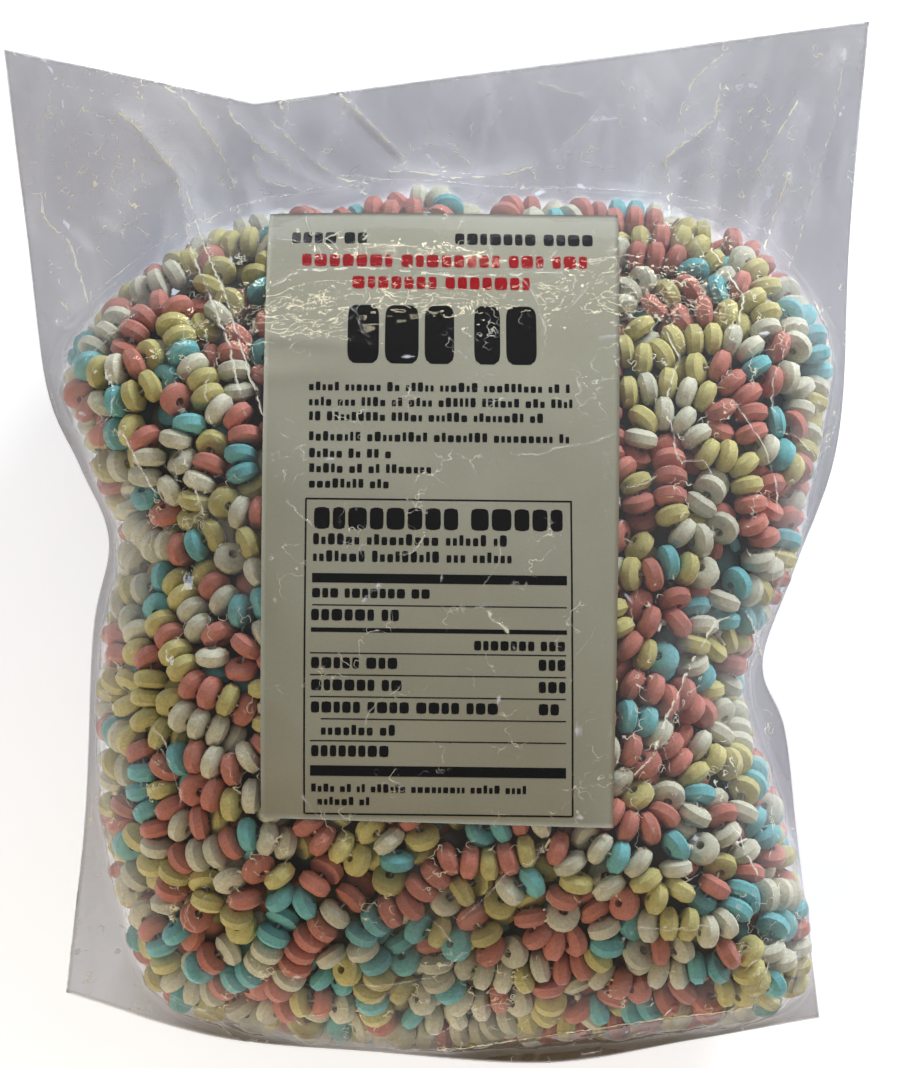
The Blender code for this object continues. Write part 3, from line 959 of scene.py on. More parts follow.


# The middle of the heap behind the beads that show, painted in deep shade

heapCore = {
    "inset": 13.0,
    "lump": 1.6,
    "lumpSize": 9.0,
    "around": 120,
    "rings": 22,
    "wallRows": 5,
    "centre": (4.0, -22.0),
    "colours": ["#8A5A4C", "#857F58", "#87806F", "#4D6E6E"],  # the beads' own colours in deep shade
    "gaps": (0.25, 0.6),  # painted shade between the rounds: where it starts and where it is darkest, over their size
    "gapLight": 0.15,
}


def makeCore():
    s = heapCore
    cx, cy = s["centre"]
    turns = np.arange(s["around"]) * 2 * math.pi / s["around"]
    far = np.arange(10.0, 190.0)[:, None]
    deep = readField("depth", cx + far * np.cos(turns), cy + far * np.sin(turns)) > s["inset"]
    reach = np.minimum.accumulate(deep, axis=0).sum(0) + far[0] - 1.0
    share = np.linspace(1, 0, s["rings"], endpoint=False)
    radius = share[:, None] * reach[None, :]
    x, y = cx + radius * np.cos(turns), cy + radius * np.sin(turns)
    lumps = s["lump"] * softWaves(x, y, s["lumpSize"], 5)
    top = np.dstack([x, y, readField("high", x, y) - s["inset"] + lumps])
    bottom = np.dstack([x, y, readField("low", x, y) + s["inset"] + lumps])
    walls = [bottom[0] + (top[0] - bottom[0]) * t for t in np.linspace(0, 1, s["wallRows"] + 2)[1:-1]]
    rings = np.concatenate([bottom[::-1], np.array(walls), top])
    ends = [(cx, cy, readField(name, np.array([cx]), np.array([cy]))[0] + inwards)
            for name, inwards in (("low", s["inset"]), ("high", -s["inset"]))]
    count, around = rings.shape[:2]
    faces, caps = [], []
    last = (count - 1) * around
    for i in range(around):
        j = (i + 1) % around
        faces += [[k + i, k + j, k + around + j, k + around + i] for k in range(0, last, around)]
        caps += [[j, i, count * around], [last + i, last + j, count * around + 1]]
    core = meshObject("heapCore", np.concatenate([rings.reshape(-1, 3), ends]), faces + caps, coreMaterial())
    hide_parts("bag")
    settle(core, "pressed_sugar")


def coreMaterial():
    # beads deep in the heap: rounds of the sugar colours in deep shade
    colours = heapCore["colours"]
    material, tree, place = newMaterial("shadedSugar")
    cells = addNode(tree, "ShaderNodeTexVoronoi", {"feature": "F1"},
                    {"Scale": 1 / (heapCore["lumpSize"] * mm), "Vector": place})
    split = addNode(tree, "ShaderNodeSeparateColor", inputs={"Color": cells.outputs["Color"]})
    pick = addNode(tree, "ShaderNodeValToRGB", inputs={"Fac": split})
    pick.color_ramp.interpolation = "CONSTANT"
    while len(pick.color_ramp.elements) < len(colours):
        pick.color_ramp.elements.new(0.5)
    for k, colour in enumerate(colours):
        pick.color_ramp.elements[k].position = k / len(colours)
        pick.color_ramp.elements[k].color = hexColour(colour)
    bright, dark = heapCore["gaps"]
    edge = addNode(tree, "ShaderNodeMapRange",
                   inputs={0: cells, 1: bright, 2: dark, 3: 1.0, 4: heapCore["gapLight"]})
    tintedSurface(tree, pick, edge, {"Roughness": 0.9})
    return material


# The elastic through each necklace, knotted at its one wider gap

elastic = {
    "radius": 0.45,
    "sides": 5,
    "knotTurns": 2.5,
    "knotRadius": 0.75,
    "knotLength": 2.0,
    "tail": 3.5,
    "colour": "#E9E6DC",
    "slot": "elastic",
}

latexElastic = {  # bare latex elastic: white going to cream, and matte
    "grains": [(1.5, 2.0, 0.3, 0.7, 0.85, 1.05)],
    "look": {"Roughness": 0.6},
}


def knotPath(start, end, draw):
    # a few tight turns round the gap's middle and a cut tail at each end
    s = elastic
    axis = (end - start) / np.linalg.norm(end - start)
    side = np.cross(axis, (draw.uniform(-1, 1), draw.uniform(-1, 1), 0.7))
    side /= np.linalg.norm(side)
    up = np.cross(axis, side)
    middle = (start + end) / 2
    turns = np.linspace(0, s["knotTurns"] * 2 * math.pi, 16)
    path = [middle + axis * s["knotLength"] * (t / turns[-1] - 0.5)
            + s["knotRadius"] * (side * math.cos(t) + up * math.sin(t)) for t in turns]
    first = path[0] + s["tail"] * (side * 0.8 - axis * 0.5)
    last = path[-1] + s["tail"] * (path[-1] - middle) / np.linalg.norm(path[-1] - middle)
    return np.array([first, *path, last])


def elasticTree():
    tree, given = newTree("elasticCord", {"Radius": "Float", "Sides": "Int", "Rubber": "Material"})
    paths = addNode(tree, "GeometryNodeMeshToCurve", inputs={"Mesh": given["Geometry"]})
    ring = addNode(tree, "GeometryNodeCurvePrimitiveCircle", {"mode": "RADIUS"},
                   {"Resolution": given["Sides"], "Radius": given["Radius"]})
    tube = addNode(tree, "GeometryNodeCurveToMesh",
                   inputs={"Fill Caps": True, "Curve": paths, "Profile Curve": ring})
    finishTree(tree, tube, given["Rubber"])
    return tree


def makeElastics(places):
    draw = random.Random(3)
    count, each = places.shape[:2]
    knots = [knotPath(loop[-1], loop[0], draw) for loop in places]
    points = np.concatenate([places.reshape(-1, 3), *knots])
    edges = [(k * each + i, k * each + (i + 1) % each) for k in range(count) for i in range(each)]
    start = count * each
    for knot in knots:
        edges += [(start + i, start + i + 1) for i in range(len(knot) - 1)]
        start += len(knot)
    carrier = meshObject("elastics", points, [])
    carrier.data.clear_geometry()
    carrier.data.from_pydata((points * mm).tolist(), edges, [])
    runTree(carrier, elasticTree(), {
        "Radius": elastic["radius"] * mm, "Sides": elastic["sides"],
        "Rubber": grainyMaterial("latexElastic", latexElastic, elastic["colour"]),
    })
    carrier.data.shade_smooth()
    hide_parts("bag")
    settle(carrier, elastic["slot"])
    print("elastics with", len(carrier.data.polygons) * 2, "triangles")


# The film: two sheets that share their rim, drawn tight over the beads and the label, then creased

bagFilm = {
    "left": [(-116.4, -143.3), (-110.5, -88.0), (-108.0, -30.0), (-103.0, -1.0), (-112.0, 22.0),
             (-123.5, 48.0), (-132.0, 100.0), (-139.5, 157.5)],
    "right": [(120.9, -151.2), (114.0, -95.0), (110.0, -60.0), (103.0, -39.4), (113.0, -10.0),
              (127.0, 31.0), (133.0, 95.0), (139.5, 166.1)],
    "bottom": [(-116.4, -143.3), (-70.0, -157.2), (-20.0, -162.0), (34.9, -165.5), (80.0, -158.5),
               (120.9, -151.2)],
    "top": [(-139.5, 157.5), (-58.5, 139.8), (139.5, 166.1)],
    "cellsAcross": 190,
    "cellsAlong": 226,
    "offFloor": 0.12,
    "overHeap": 0.5,
    "leavesHeap": 16.0,  # outside the heap's outline, by where it is all empty film
    "wave": 1.3,  # of the empty film, up and down
    "waveSize": 34.0,
    "pillow": 2.2,  # how far the two empty sheets part
    "pillowSize": 20.0,
    "pillowFrom": 7,  # rings of points in from the rim, where they are parted in full
    "beadReach": 5.5,  # from a bead's middle to the film on it
    "nearBeads": 6,  # that hold each point of it up
    "labelEdge": 1.5,  # how far outside the label the film still lies on it
    "heapEdge": 14.0,  # how far in from the heap's outline it counts as lying on beads throughout
    "relaxing": 30,  # rounds
    "tightening": 18,
    "easing": 0.6,  # how far a round moves a point towards the middle of those round it
    "mostPush": 0.6,  # that a round gives it off the beads
    "crumple": 0.2,
    "crumpleSize": 15.0,
    "veil": 4.0,  # how far off the beads its hazy patches are taken to be
    "veilSize": 45.0,
    "slot": "clear_film",
}


def alongPath(path, t):
    # the place at the share t of a path's length
    lengths = np.concatenate([[0], np.cumsum(np.hypot(*np.diff(path, axis=0).T))])
    return np.stack([np.interp(t, lengths / lengths[-1], path[:, k]) for k in (0, 1)], axis=-1)


filmEdges = {name: roundedPath(bagFilm[name]) for name in ("left", "right", "bottom")}
filmEdges["top"] = np.array(bagFilm["top"])  # cut straight, with a corner where the film is pinched


def filmPlan(u, v):
    # a point of the film seen from above, u across and v along, from its four edges
    left, right = alongPath(filmEdges["left"], v), alongPath(filmEdges["right"], v)
    bottom, top = alongPath(filmEdges["bottom"], u), alongPath(filmEdges["top"], u)
    u, v = u[..., None], v[..., None]
    corners = (1 - v) * ((1 - u) * filmEdges["bottom"][0] + u * filmEdges["bottom"][-1])
    corners = corners + v * ((1 - u) * filmEdges["top"][0] + u * filmEdges["top"][-1])
    return (1 - v) * bottom + v * top + (1 - u) * left + u * right - corners


def outsideHeap(x, y):
    # 0 over the heap, 1 where the film is well clear of it
    return smoothStep(-readField("depth", x, y) / bagFilm["leavesHeap"])


def filmMiddle(x, y):
    # height of the film's rim, and of the empty film midway between its two sheets
    wave = bagFilm["wave"] * softWaves(x, y, bagFilm["waveSize"], 3)
    return readField("seam", x, y) + wave * outsideHeap(x, y)


def ringsFromRim(rows, columns):
    # how many points each point of a grid is from its border
    rings = (np.minimum(np.arange(n), n - 1 - np.arange(n)) for n in (rows, columns))
    return np.minimum.outer(*rings)


def filmSheet(plan, side):
    # one sheet before it is drawn tight, over the heap's top or underside and away to the rim
    f = bagFilm
    x, y = plan[..., 0], plan[..., 1]
    fromRim, outside, middle = ringsFromRim(*x.shape), outsideHeap(x, y), filmMiddle(x, y)
    parting = 0.25 + f["pillow"] * outside * (0.6 + 0.5 * softWaves(x, y, f["pillowSize"], 8 + side))
    parting = parting * np.clip(fromRim / f["pillowFrom"], 0, 1)
    if side > 0:
        over = f["overHeap"] * (1 - outside) * (fromRim > 0)
        z = np.maximum(readField("high", x, y) + over, middle) + parting
    else:
        z = np.minimum(readField("low", x, y), middle) - parting
    z = np.where(fromRim == 0, middle, z)
    return np.dstack([x, y, np.maximum(z, f["offFloor"])])


def evenGrid(side):
    # shares across and along that space the sheet's points evenly over its own surface
    rows, columns = bagFilm["cellsAlong"] + 1, bagFilm["cellsAcross"] + 1
    v, u = np.meshgrid(np.linspace(0, 1, rows), np.linspace(0, 1, columns), indexing="ij")
    for turn in range(8):
        sheet = filmSheet(filmPlan(u, v), side)
        shares, lines = (u, sheet) if turn % 2 == 0 else (v.T, sheet.transpose(1, 0, 2))
        spaced = np.empty_like(shares)
        for k, line in enumerate(lines):
            far = np.concatenate([[0], np.cumsum(np.linalg.norm(np.diff(line, axis=0), axis=1))])
            spaced[k] = np.interp(np.linspace(0, far[-1], len(line)), far, shares[k])
        for _ in range(30):
            spaced[1:-1] = (spaced[2:] + 2 * spaced[1:-1] + spaced[:-2]) / 4
        u, v = (spaced, v) if turn % 2 == 0 else (u, spaced.T)
    return u, v


def fourAround(grid):
    # the sum of each inner point's four neighbours
    return grid[2:, 1:-1] + grid[:-2, 1:-1] + grid[1:-1, 2:] + grid[1:-1, :-2]


def relaxed(sheet, rounds):
    # evens the spacing and the bends together, with the rim held
    for _ in range(rounds):
        sheet[1:-1, 1:-1] += bagFilm["easing"] * (fourAround(sheet) / 4 - sheet[1:-1, 1:-1])
    return sheet


def gridNormals(sheet, side):
    across, along = np.gradient(sheet, axis=1), np.gradient(sheet, axis=0)
    normals = np.cross(across, along) * side
    return normals / (np.linalg.norm(normals, axis=-1, keepdims=True) + 1e-12)


def smoothNormals(sheet, side):
    normals = gridNormals(sheet, side)
    for _ in range(8):
        normals[1:-1, 1:-1] += fourAround(normals) / 2
        normals /= np.linalg.norm(normals, axis=-1, keepdims=True) + 1e-12
    return normals


def nearestBeads(sheet, beads, how):
    tree = KDTree(len(beads))
    for k, bead in enumerate(beads):
        tree.insert(bead, k)
    tree.balance()
    found = [[hit[1] for hit in tree.find_n(point, how)] for point in sheet.reshape(-1, 3)]
    return np.array(found).reshape(*sheet.shape[:2], how)


def bareFilm(x, y, beads):
    # 1 where no bead lies under the film as seen from above, 0 over the heap
    reach, span = 9, 190  # how far a bead is looked for, and half the width of the map of distances
    far = np.full((2 * span, 2 * span), float(reach))
    column, row = np.floor(beads[:, :2] + span).astype(int).T
    for dx in range(-reach, reach + 1):
        for dy in range(-reach, reach + 1):
            off = np.hypot(column + dx + 0.5 - span - beads[:, 0], row + dy + 0.5 - span - beads[:, 1])
            np.minimum.at(far, (row + dy, column + dx), off)
    for _ in range(2):
        far = (np.roll(far, 1, 0) + 2 * far + np.roll(far, -1, 0)) / 4
        far = (np.roll(far, 1, 1) + 2 * far + np.roll(far, -1, 1)) / 4
    nearest = far[np.floor(y + span).astype(int), np.floor(x + span).astype(int)]
    return smoothStep((nearest - 3.5) / 3)


def tightenFilm(sheet, side, beads):
    # evens the sheet along its own normals, held off the beads, the label, the floor and the other sheet
    f = bagFilm
    near = beads[nearestBeads(sheet, beads, f["nearBeads"])]
    x, y = sheet[..., 0], sheet[..., 1]
    middle = filmMiddle(x, y) + f["offFloor"] * side
    onPaper = insideLabel(x, y) > -f["labelEdge"]
    inner = (slice(1, -1), slice(1, -1))
    normals = smoothNormals(sheet, side)
    for _ in range(f["tightening"]):
        move = ((fourAround(sheet) / 4 - sheet[inner]) * normals[inner]).sum(-1) * f["easing"]
        sheet[inner] += normals[inner] * move[..., None]
        away = sheet[:, :, None] - near
        along = (away * normals[:, :, None]).sum(-1)
        inside = along**2 - (away**2).sum(-1) + f["beadReach"] ** 2
        push = np.where(inside > 0, np.sqrt(np.maximum(inside, 0)) - along, 0).max(-1)
        push = np.clip(push, 0, f["mostPush"]) * (ringsFromRim(*x.shape) > 0)
        sheet += normals * push[..., None]
        z = sheet[..., 2]
        if side > 0:
            z[inner] = np.maximum(z, middle)[inner]
            z[onPaper] = np.maximum(z[onPaper], labelTop(x[onPaper], y[onPaper]) + labelSheet["underFilm"])
        else:
            z[inner] = np.clip(z, f["offFloor"], middle)[inner]
    gap = np.sqrt(((sheet[:, :, None] - near) ** 2).sum(-1)).min(-1) - f["beadReach"]
    gap[onPaper & (side > 0)] = 0
    inHeap = smoothStep(readField("depth", x, y) / f["heapEdge"])
    veil = f["veil"] * np.clip(softWaves(x, y, f["veilSize"], 6 + side) - 0.2, 0, 1) * ~onPaper
    gap = np.maximum(gap, 0) * (1 - inHeap) + veil * inHeap
    return np.maximum(gap, filmLook["emptyGap"] * bareFilm(x, y, beads) * ~onPaper)


creases = [  # height, half width, then the line, all as seen from above
    (1.0, 3.0, [(-92, 148), (-81, 141), (-70, 126), (-64, 112)]),
    (1.4, 4.0, [(-105, 139), (-97, 133), (-84, 118), (-78, 93), (-71, 77), (-63, 58), (-58, 37)]),
    (1.2, 3.5, [(-81, 115), (-77, 101), (-66, 77), (-59, 56), (-52, 36)]),
    (1.0, 3.0, [(-68, 139), (-62, 131), (-54, 124), (-50, 123)]),
    (1.0, 3.0, [(-54, 135), (-49, 130), (-31, 115), (-20, 113)]),
    (0.8, 2.5, [(-60, 126), (-56, 115), (-44, 112)]),
    (1.8, 4.5, [(-32, 144), (-21, 133), (-10, 122)]),
    (1.0, 3.5, [(-17, 118), (-4, 117), (5, 115), (19, 116), (33, 120)]),
    (1.2, 3.5, [(92, 147), (90, 135), (86, 131), (74, 122), (75, 114), (74, 100)]),
    (1.2, 3.5, [(117, 141), (109, 128), (102, 115)]),
    (0.5, 5.0, [(133, 160), (127, 131), (117, 96), (112, 84)]),
    (1.2, 4.0, [(114, 118), (108, 101), (103, 88)]),
    (1.2, 4.0, [(-127, 111), (-126, 103), (-117, 94), (-110, 72)]),
    (1.0, 3.0, [(-96, 33), (-86, 15), (-84, 13)]),
    (0.8, 3.0, [(-77, 27), (-69, 5)]),
    (0.7, 3.0, [(-52, 78), (-42, 83), (-22, 84), (12, 81), (40, 83)]),
    (1.4, 4.0, [(103, -39), (94, -22), (85, -25), (78, -35), (69, -54), (65, -65), (59, -72)]),
    (1.2, 4.5, [(1, -159), (52, -150), (69, -147), (98, -144)]),
    (0.8, 3.0, [(68, 70), (75, 55), (70, 40), (74, 22)]),
    (0.8, 3.0, [(86, 92), (96, 74), (92, 60)]),
]

strayCreases = {
    "count": 90,
    "length": (8.0, 40.0),
    "height": (0.15, 0.6),
    "halfWidth": (1.6, 2.6),
    "seed": 12,
}

creaseForm = {
    "ends": 2.5,  # how suddenly a crease rises at its two ends
    "flanks": 1.3,  # how hollow its two slopes are
    "marked": (5.0, 2.5),  # how far from it the material may draw its line, and the fade out to there
    "litFade": 1.5,  # from its dark side to its lit one
    "fromRim": 3,  # rings of points in from the rim, where a crease may be at its full height
    "offFloor": (1.5, 3.0),  # how high over the floor the lower sheet starts to be creased, and the fade
    "facets": 0.9,  # painted sheen: lightness of the facets, of their soft mottle and of the creases' lit sides
    "mottle": 0.3,
    "pleats": 1.4,
}

glints = [  # painted glints, facets that catch the light: middle, length, width, and turn in degrees
    (54.7, 135.0, 15.0, 3.0, 4), (34.0, 111.0, 6.0, 3.0, 20), (-67.0, 114.0, 8.0, 3.2, 22),
    (-119.0, 101.0, 8.0, 2.2, -60), (-120.0, 139.0, 7.0, 2.2, 80), (99.0, 145.0, 13.0, 3.0, 8),
    (91.0, 132.0, 7.0, 2.6, 80), (107.0, 111.0, 11.0, 3.2, 62), (79.0, 115.0, 11.0, 2.4, 4),
    (67.0, 135.0, 5.0, 1.8, -40), (101.0, 122.0, 6.0, 2.4, 60), (131.0, 154.0, 11.0, 3.0, 72),
    (-55.0, 96.0, 9.0, 2.0, 75), (-2.0, 122.0, 8.0, 2.2, -40),
]

sheenStreaks = [  # painted sheen, lighter streaks where the film was pulled: middle, length, width, turn in degrees and how light
    (129.5, 154.0, 14.0, 4.0, 70, 1.5), (116.0, 120.0, 58.0, 8.0, 74, 1.2),
    (123.0, 112.0, 30.0, 9.0, 88, 1.0), (92.0, 120.0, 38.0, 8.0, 80, 1.3),
    (66.5, 144.0, 15.0, 4.0, -57, 1.2), (66.5, 113.0, 17.0, 4.0, 80, 1.3),
    (104.5, 106.0, 24.0, 5.0, 78, 2.0), (-129.7, 120.0, 60.0, 5.0, 94, 0.8),
    (-114.0, 94.7, 15.0, 4.0, -50, 1.2), (-106.0, 100.0, 13.0, 4.0, -27, 1.0),
    (-77.0, 100.6, 24.0, 7.0, -66, 1.5), (-83.0, 117.6, 19.0, 8.0, -43, 1.6),
    (-59.7, 109.0, 26.0, 7.0, -72, 1.5), (-76.0, 132.5, 32.0, 6.0, -45, 0.9),
    (-19.7, 128.0, 30.0, 3.5, -45, 1.8), (6.0, 113.0, 54.0, 7.0, 3, 0.8),
    (-42.0, 117.0, 32.0, 8.0, -24, 1.0),
]

# stray streaks of painted sheen
straySheenStreaks = {
    "count": 90,
    "length": (16.0, 60.0),
    "width": (1.8, 5.0),
    "light": (0.3, 1.1),
    "turn": (100, 24),  # their usual turn, and how much it strays
    "seed": 9,
}

strayGlints = {"count": 45, "length": (3.0, 12.0), "width": (1.6, 2.4), "seed": 5}

scribbles = [  # patches of fine crinkles, drawn as painted highlight lines: middle and radius
    (-108.0, 128.0, 26.0), (-72.0, 96.0, 16.0), (96.0, 126.0, 20.0), (84.0, 80.0, 24.0), (62.0, 52.0, 12.0),
    (-66.0, 62.0, 15.0), (-78.0, 8.0, 12.0), (62.0, -66.0, 16.0), (20.0, -140.0, 14.0), (96.0, -120.0, 14.0),
]


def strayLines(size, draw):
    # short bent creases at random over a flat sheet of this size
    s = strayCreases
    for _ in range(s["count"]):
        point = np.array([draw.uniform(0, size[0]), draw.uniform(0, size[1])])
        heading, line = draw.uniform(0, 2 * math.pi), [point]
        step = draw.uniform(*s["length"]) / 4
        for _ in range(4):
            heading += draw.gauss(0, 0.35)
            line.append(line[-1] + step * np.array([math.cos(heading), math.sin(heading)]))
        yield draw.uniform(*s["height"]), draw.uniform(*s["halfWidth"]), line


def creaseFilm(sheet, side):
    # tent-shaped ridges along the creases, and the marks that the material sharpens into painted highlight
    # lines and facets of painted sheen
    f, look = creaseForm, filmLook
    rows, columns = sheet.shape[:2]
    wide, long = (np.linalg.norm(np.diff(sheet, axis=axis), axis=2).mean() for axis in (1, 0))
    t, s = np.meshgrid(np.arange(rows) * long, np.arange(columns) * wide, indexing="ij")
    normals = smoothNormals(sheet, side)
    names = ("creaseA", "creaseB", "sharpA", "sharpB", "rise", "pleatSheen")
    marks = {name: np.zeros((rows, columns)) for name in names}
    rise, pleatSheen = marks.pop("rise"), marks.pop("pleatSheen")
    draw = random.Random(strayCreases["seed"] + side)
    jobs = [(crease, sheet[..., 0].copy(), sheet[..., 1].copy()) for crease in creases] if side > 0 else []
    jobs += [(crease, s, t) for crease in strayLines((s.max(), t.max()), draw)]
    for k, ((height, half, line), across, along) in enumerate(jobs):
        off, sign, share = besideLine(across, along, line)
        taper = np.sqrt(np.clip(4 * share * (1 - share) * f["ends"], 0, 1))
        rise = np.maximum(rise, height * taper * np.clip(1 - off / half, 0, 1) ** f["flanks"])
        farthest, fading = f["marked"]
        sharp = height * taper * np.clip((farthest - off) / fading, 0, 1)
        litSide = np.clip(0.5 + off * sign * (k % 2 * 2 - 1) / f["litFade"], 0, 1)
        reached = np.clip(1 - off / (look["pleatReach"] * half), 0, 1)
        pleatSheen = np.maximum(pleatSheen, min(height, 1) * taper * litSide * reached)
        group = "AB"[k % 2]
        wins = sharp > marks["sharp" + group]
        marks["sharp" + group] = np.where(wins, sharp, marks["sharp" + group])
        marks["crease" + group] = np.where(wins, off * sign, marks["crease" + group])
    marks["glint"] = glintMarks(sheet, s, t, side)
    marks["scribbled"] = scribbleMarks(sheet, s, t, side)
    apart, _ = shards(s / bagFilm["crumpleSize"], t / bagFilm["crumpleSize"], 2 + side)
    rise += bagFilm["crumple"] * smoothStep(0.5 + softWaves(s, t, 30, 4 + side)) * apart
    size, turn = look["facetWidth"], look["facetTurn"]
    across = (s * math.cos(turn) + t * math.sin(turn)) / size
    along = (t * math.cos(turn) - s * math.sin(turn)) / (size * look["facetStretch"])
    _, light = shards(across, along, 20 + side)
    if side < 0:
        rise *= fade(sheet[..., 2], *f["offFloor"])
        for name in ("sharpA", "sharpB", "scribbled"):
            marks[name] *= look["backMarks"]
    sheet += normals * (rise * np.clip(ringsFromRim(rows, columns) / f["fromRim"], 0, 1))[..., None]
    sheet[..., 2] = np.maximum(sheet[..., 2], bagFilm["offFloor"])
    # painted sheen from the facets, their mottle, the creases' lit sides and the streaks
    light = f["facets"] * light + f["mottle"] * softWaves(across, along, 1.2, 31 + side) + f["pleats"] * pleatSheen
    return marks, light + streakSheen(sheet, s, t, side)


def shards(across, along, seed):
    # scattered points, one to a cell: how far the nearest is, and its random lightness
    draw = np.random.default_rng(seed)
    i, j = (np.floor(part).astype(int) - int(part.min()) + 2 for part in (across, along))
    spots = draw.uniform(0, 1, (j.max() + 2, i.max() + 2, 3))
    u, v = across - np.floor(across), along - np.floor(along)
    around = [(di, dj, spots[j + dj, i + di]) for dj in (-1, 0, 1) for di in (-1, 0, 1)]
    apart = np.array([np.hypot(di + spot[..., 0] - u, dj + spot[..., 1] - v) for di, dj, spot in around])
    share = np.exp(30 * (apart.min(0) - apart))
    light = sum(part * spot[..., 2] for part, (_, _, spot) in zip(share, around)) / share.sum(0)
    return np.minimum(apart.min(0), 1), light


def markedSpots(chosen, stray, ranges, turns, sheet, s, t, side):
    # for each chosen mark on the upper sheet, then for each stray one on either sheet: how far ahead of and
    # beside its middle each point is, and the mark's other numbers
    draw = random.Random(stray["seed"] + side)
    jobs = [(sheet[..., 0], sheet[..., 1], *mark) for mark in chosen] if side > 0 else []
    for _ in range(stray["count"]):
        x, y = draw.uniform(0, s.max()), draw.uniform(0, t.max())
        length, width, *much = (draw.uniform(*stray[name]) for name in ranges)
        jobs.append((s, t, x, y, length, width, turns(draw), *much))
    for across, along, x, y, length, width, turn, *much in jobs:
        turn = math.radians(turn)
        ahead = (across - x) * math.cos(turn) + (along - y) * math.sin(turn)
        aside = (along - y) * math.cos(turn) - (across - x) * math.sin(turn)
        yield ahead, aside, length, width, *much


def glintMarks(sheet, s, t, side):
    # 1 in the middle of each painted glint, 0 on its edge and less outside it
    mark = np.full(s.shape, -3.0)
    spots = markedSpots(glints, strayGlints, ("length", "width"), lambda draw: draw.uniform(0, 180),
                        sheet, s, t, side)
    for ahead, aside, length, width in spots:
        mark = np.maximum(mark, 1 - np.hypot(ahead * 2 / length, aside * 2 / width))
    return mark


def streakSheen(sheet, s, t, side):
    # painted sheen in long soft streaks where the film has been pulled, crisp on one side, most of them along
    # the bag
    light = np.zeros(s.shape)
    spots = markedSpots(sheenStreaks, straySheenStreaks, ("length", "width", "light"),
                        lambda draw: draw.gauss(*straySheenStreaks["turn"]), sheet, s, t, side)
    for ahead, aside, length, width, much in spots:
        edge = np.where(aside > 0, aside, -aside * 8) / width
        ends = np.clip(2 - np.abs(ahead) * 4 / length, 0, 1)
        light = np.maximum(light, much * np.clip(1.6 - 1.6 * edge, 0, 1) * ends)
    return light


def scribbleMarks(sheet, s, t, side):
    # how much of the fine crinkles shows: in the patches named above and in others at random
    mark = smoothStep(3 * softWaves(s, t, 12, 40 + side) - 1.4)
    if side > 0:
        for x, y, radius in scribbles:
            off = np.hypot(sheet[..., 0] - x, sheet[..., 1] - y) / radius
            mark = np.maximum(mark, smoothStep(2.2 - 2 * off + 0.8 * softWaves(s, t, 5, 50)))
    return mark


def filmTone(sheet, side, gap, light):
    # how milky, how grey and how shaded the film is, point by point, lighter where the painted sheen falls
    f = filmLook
    x, y = sheet[..., 0], sheet[..., 1]
    empty = smoothStep(gap / f["emptyGap"])
    level = np.abs(smoothNormals(sheet, side)[..., 2])
    hazy = f["hazeTouching"] + f["hazeEmpty"] * empty * np.clip((level - 0.5) / 0.45, 0.1, 1) * (0.2 + light)
    depth = readField("depth", x, y)
    around = smoothStep(1 - depth / f["aroundReach"]) * fade(y, *f["aroundFrom"])
    hazy = np.maximum(hazy, f["hazeAround"] * around * (0.6 + 0.4 * light))
    if side > 0:
        onPaper = smoothStep(insideLabel(x, y) / 2)
        hazy = np.maximum(hazy, f["labelVeil"] * fade(y, *f["veilFrom"]) * onPaper)
        brighter = 0.4 + smoothStep(0.5 + (x + y / 2) / 200)
        hazy = np.maximum(hazy, f["hazeOnBeads"] * brighter * (1 - onPaper))
    # painted shade along the bottom hem and over the lowest beads, and a thin painted shade line along the
    # rim
    hemShade = smoothStep(1 - depth / f["hemReach"]) * fade(-y, *f["hemBelow"])
    hemShade = hemShade * fade(x, *f["hemLeft"]) * fade(-x, *f["hemRight"])
    hemShade = np.maximum(hemShade, f["rimShade"] * (ringsFromRim(*x.shape) == 0))
    tinted = empty * np.clip(1.15 + f["sideShade"] * fade(np.abs(x), *f["sidesFrom"]) - 0.4 * light, 0.3, 1)
    # painted light in the corner at the bottom left, against the bag's shadow
    tinted = tinted * (1 - f["cornerPaintedLight"] * fade(-y, *f["cornerBelow"]) * fade(-x, *f["cornerLeft"]))
    return {"hazy": hazy, "tinted": tinted, "shaded": hemShade, "empty": empty}


def makeFilm(beads):
    sheets, marks = [], []
    for side in (1, -1):
        u, v = evenGrid(side)
        sheet = relaxed(filmSheet(filmPlan(u, v), side), bagFilm["relaxing"])
        gap = tightenFilm(sheet, side, beads)
        creased, light = creaseFilm(sheet, side)
        marks.append({**creased, **filmTone(sheet, side, gap, light)})
        sheets.append(sheet)
    rows, columns = sheets[0].shape[:2]
    rim = rimOf(rows, columns)
    count = rows * columns
    inner = np.setdiff1d(np.arange(count), rim)
    number = np.empty(count, int)
    number[rim], number[inner] = rim, count + np.arange(len(inner))
    upper, lower = (sheet.reshape(-1, 3) for sheet in sheets)
    upper[rim] = (upper[rim] + lower[rim]) / 2
    faces = np.concatenate([sheetFaces(rows, columns), number[sheetFaces(rows, columns, 0, True)]])
    film = meshObject("bagFilm", np.concatenate([upper, lower[inner]]), faces.tolist(), filmMaterial())
    for name in marks[0]:
        above, below = (part[name].ravel() for part in marks)
        storeOnPoints(film.data, name, np.concatenate([above, below[inner]]))
    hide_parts("bag")
    settle(film, bagFilm["slot"])
    print("film with", len(faces) * 2, "triangles")


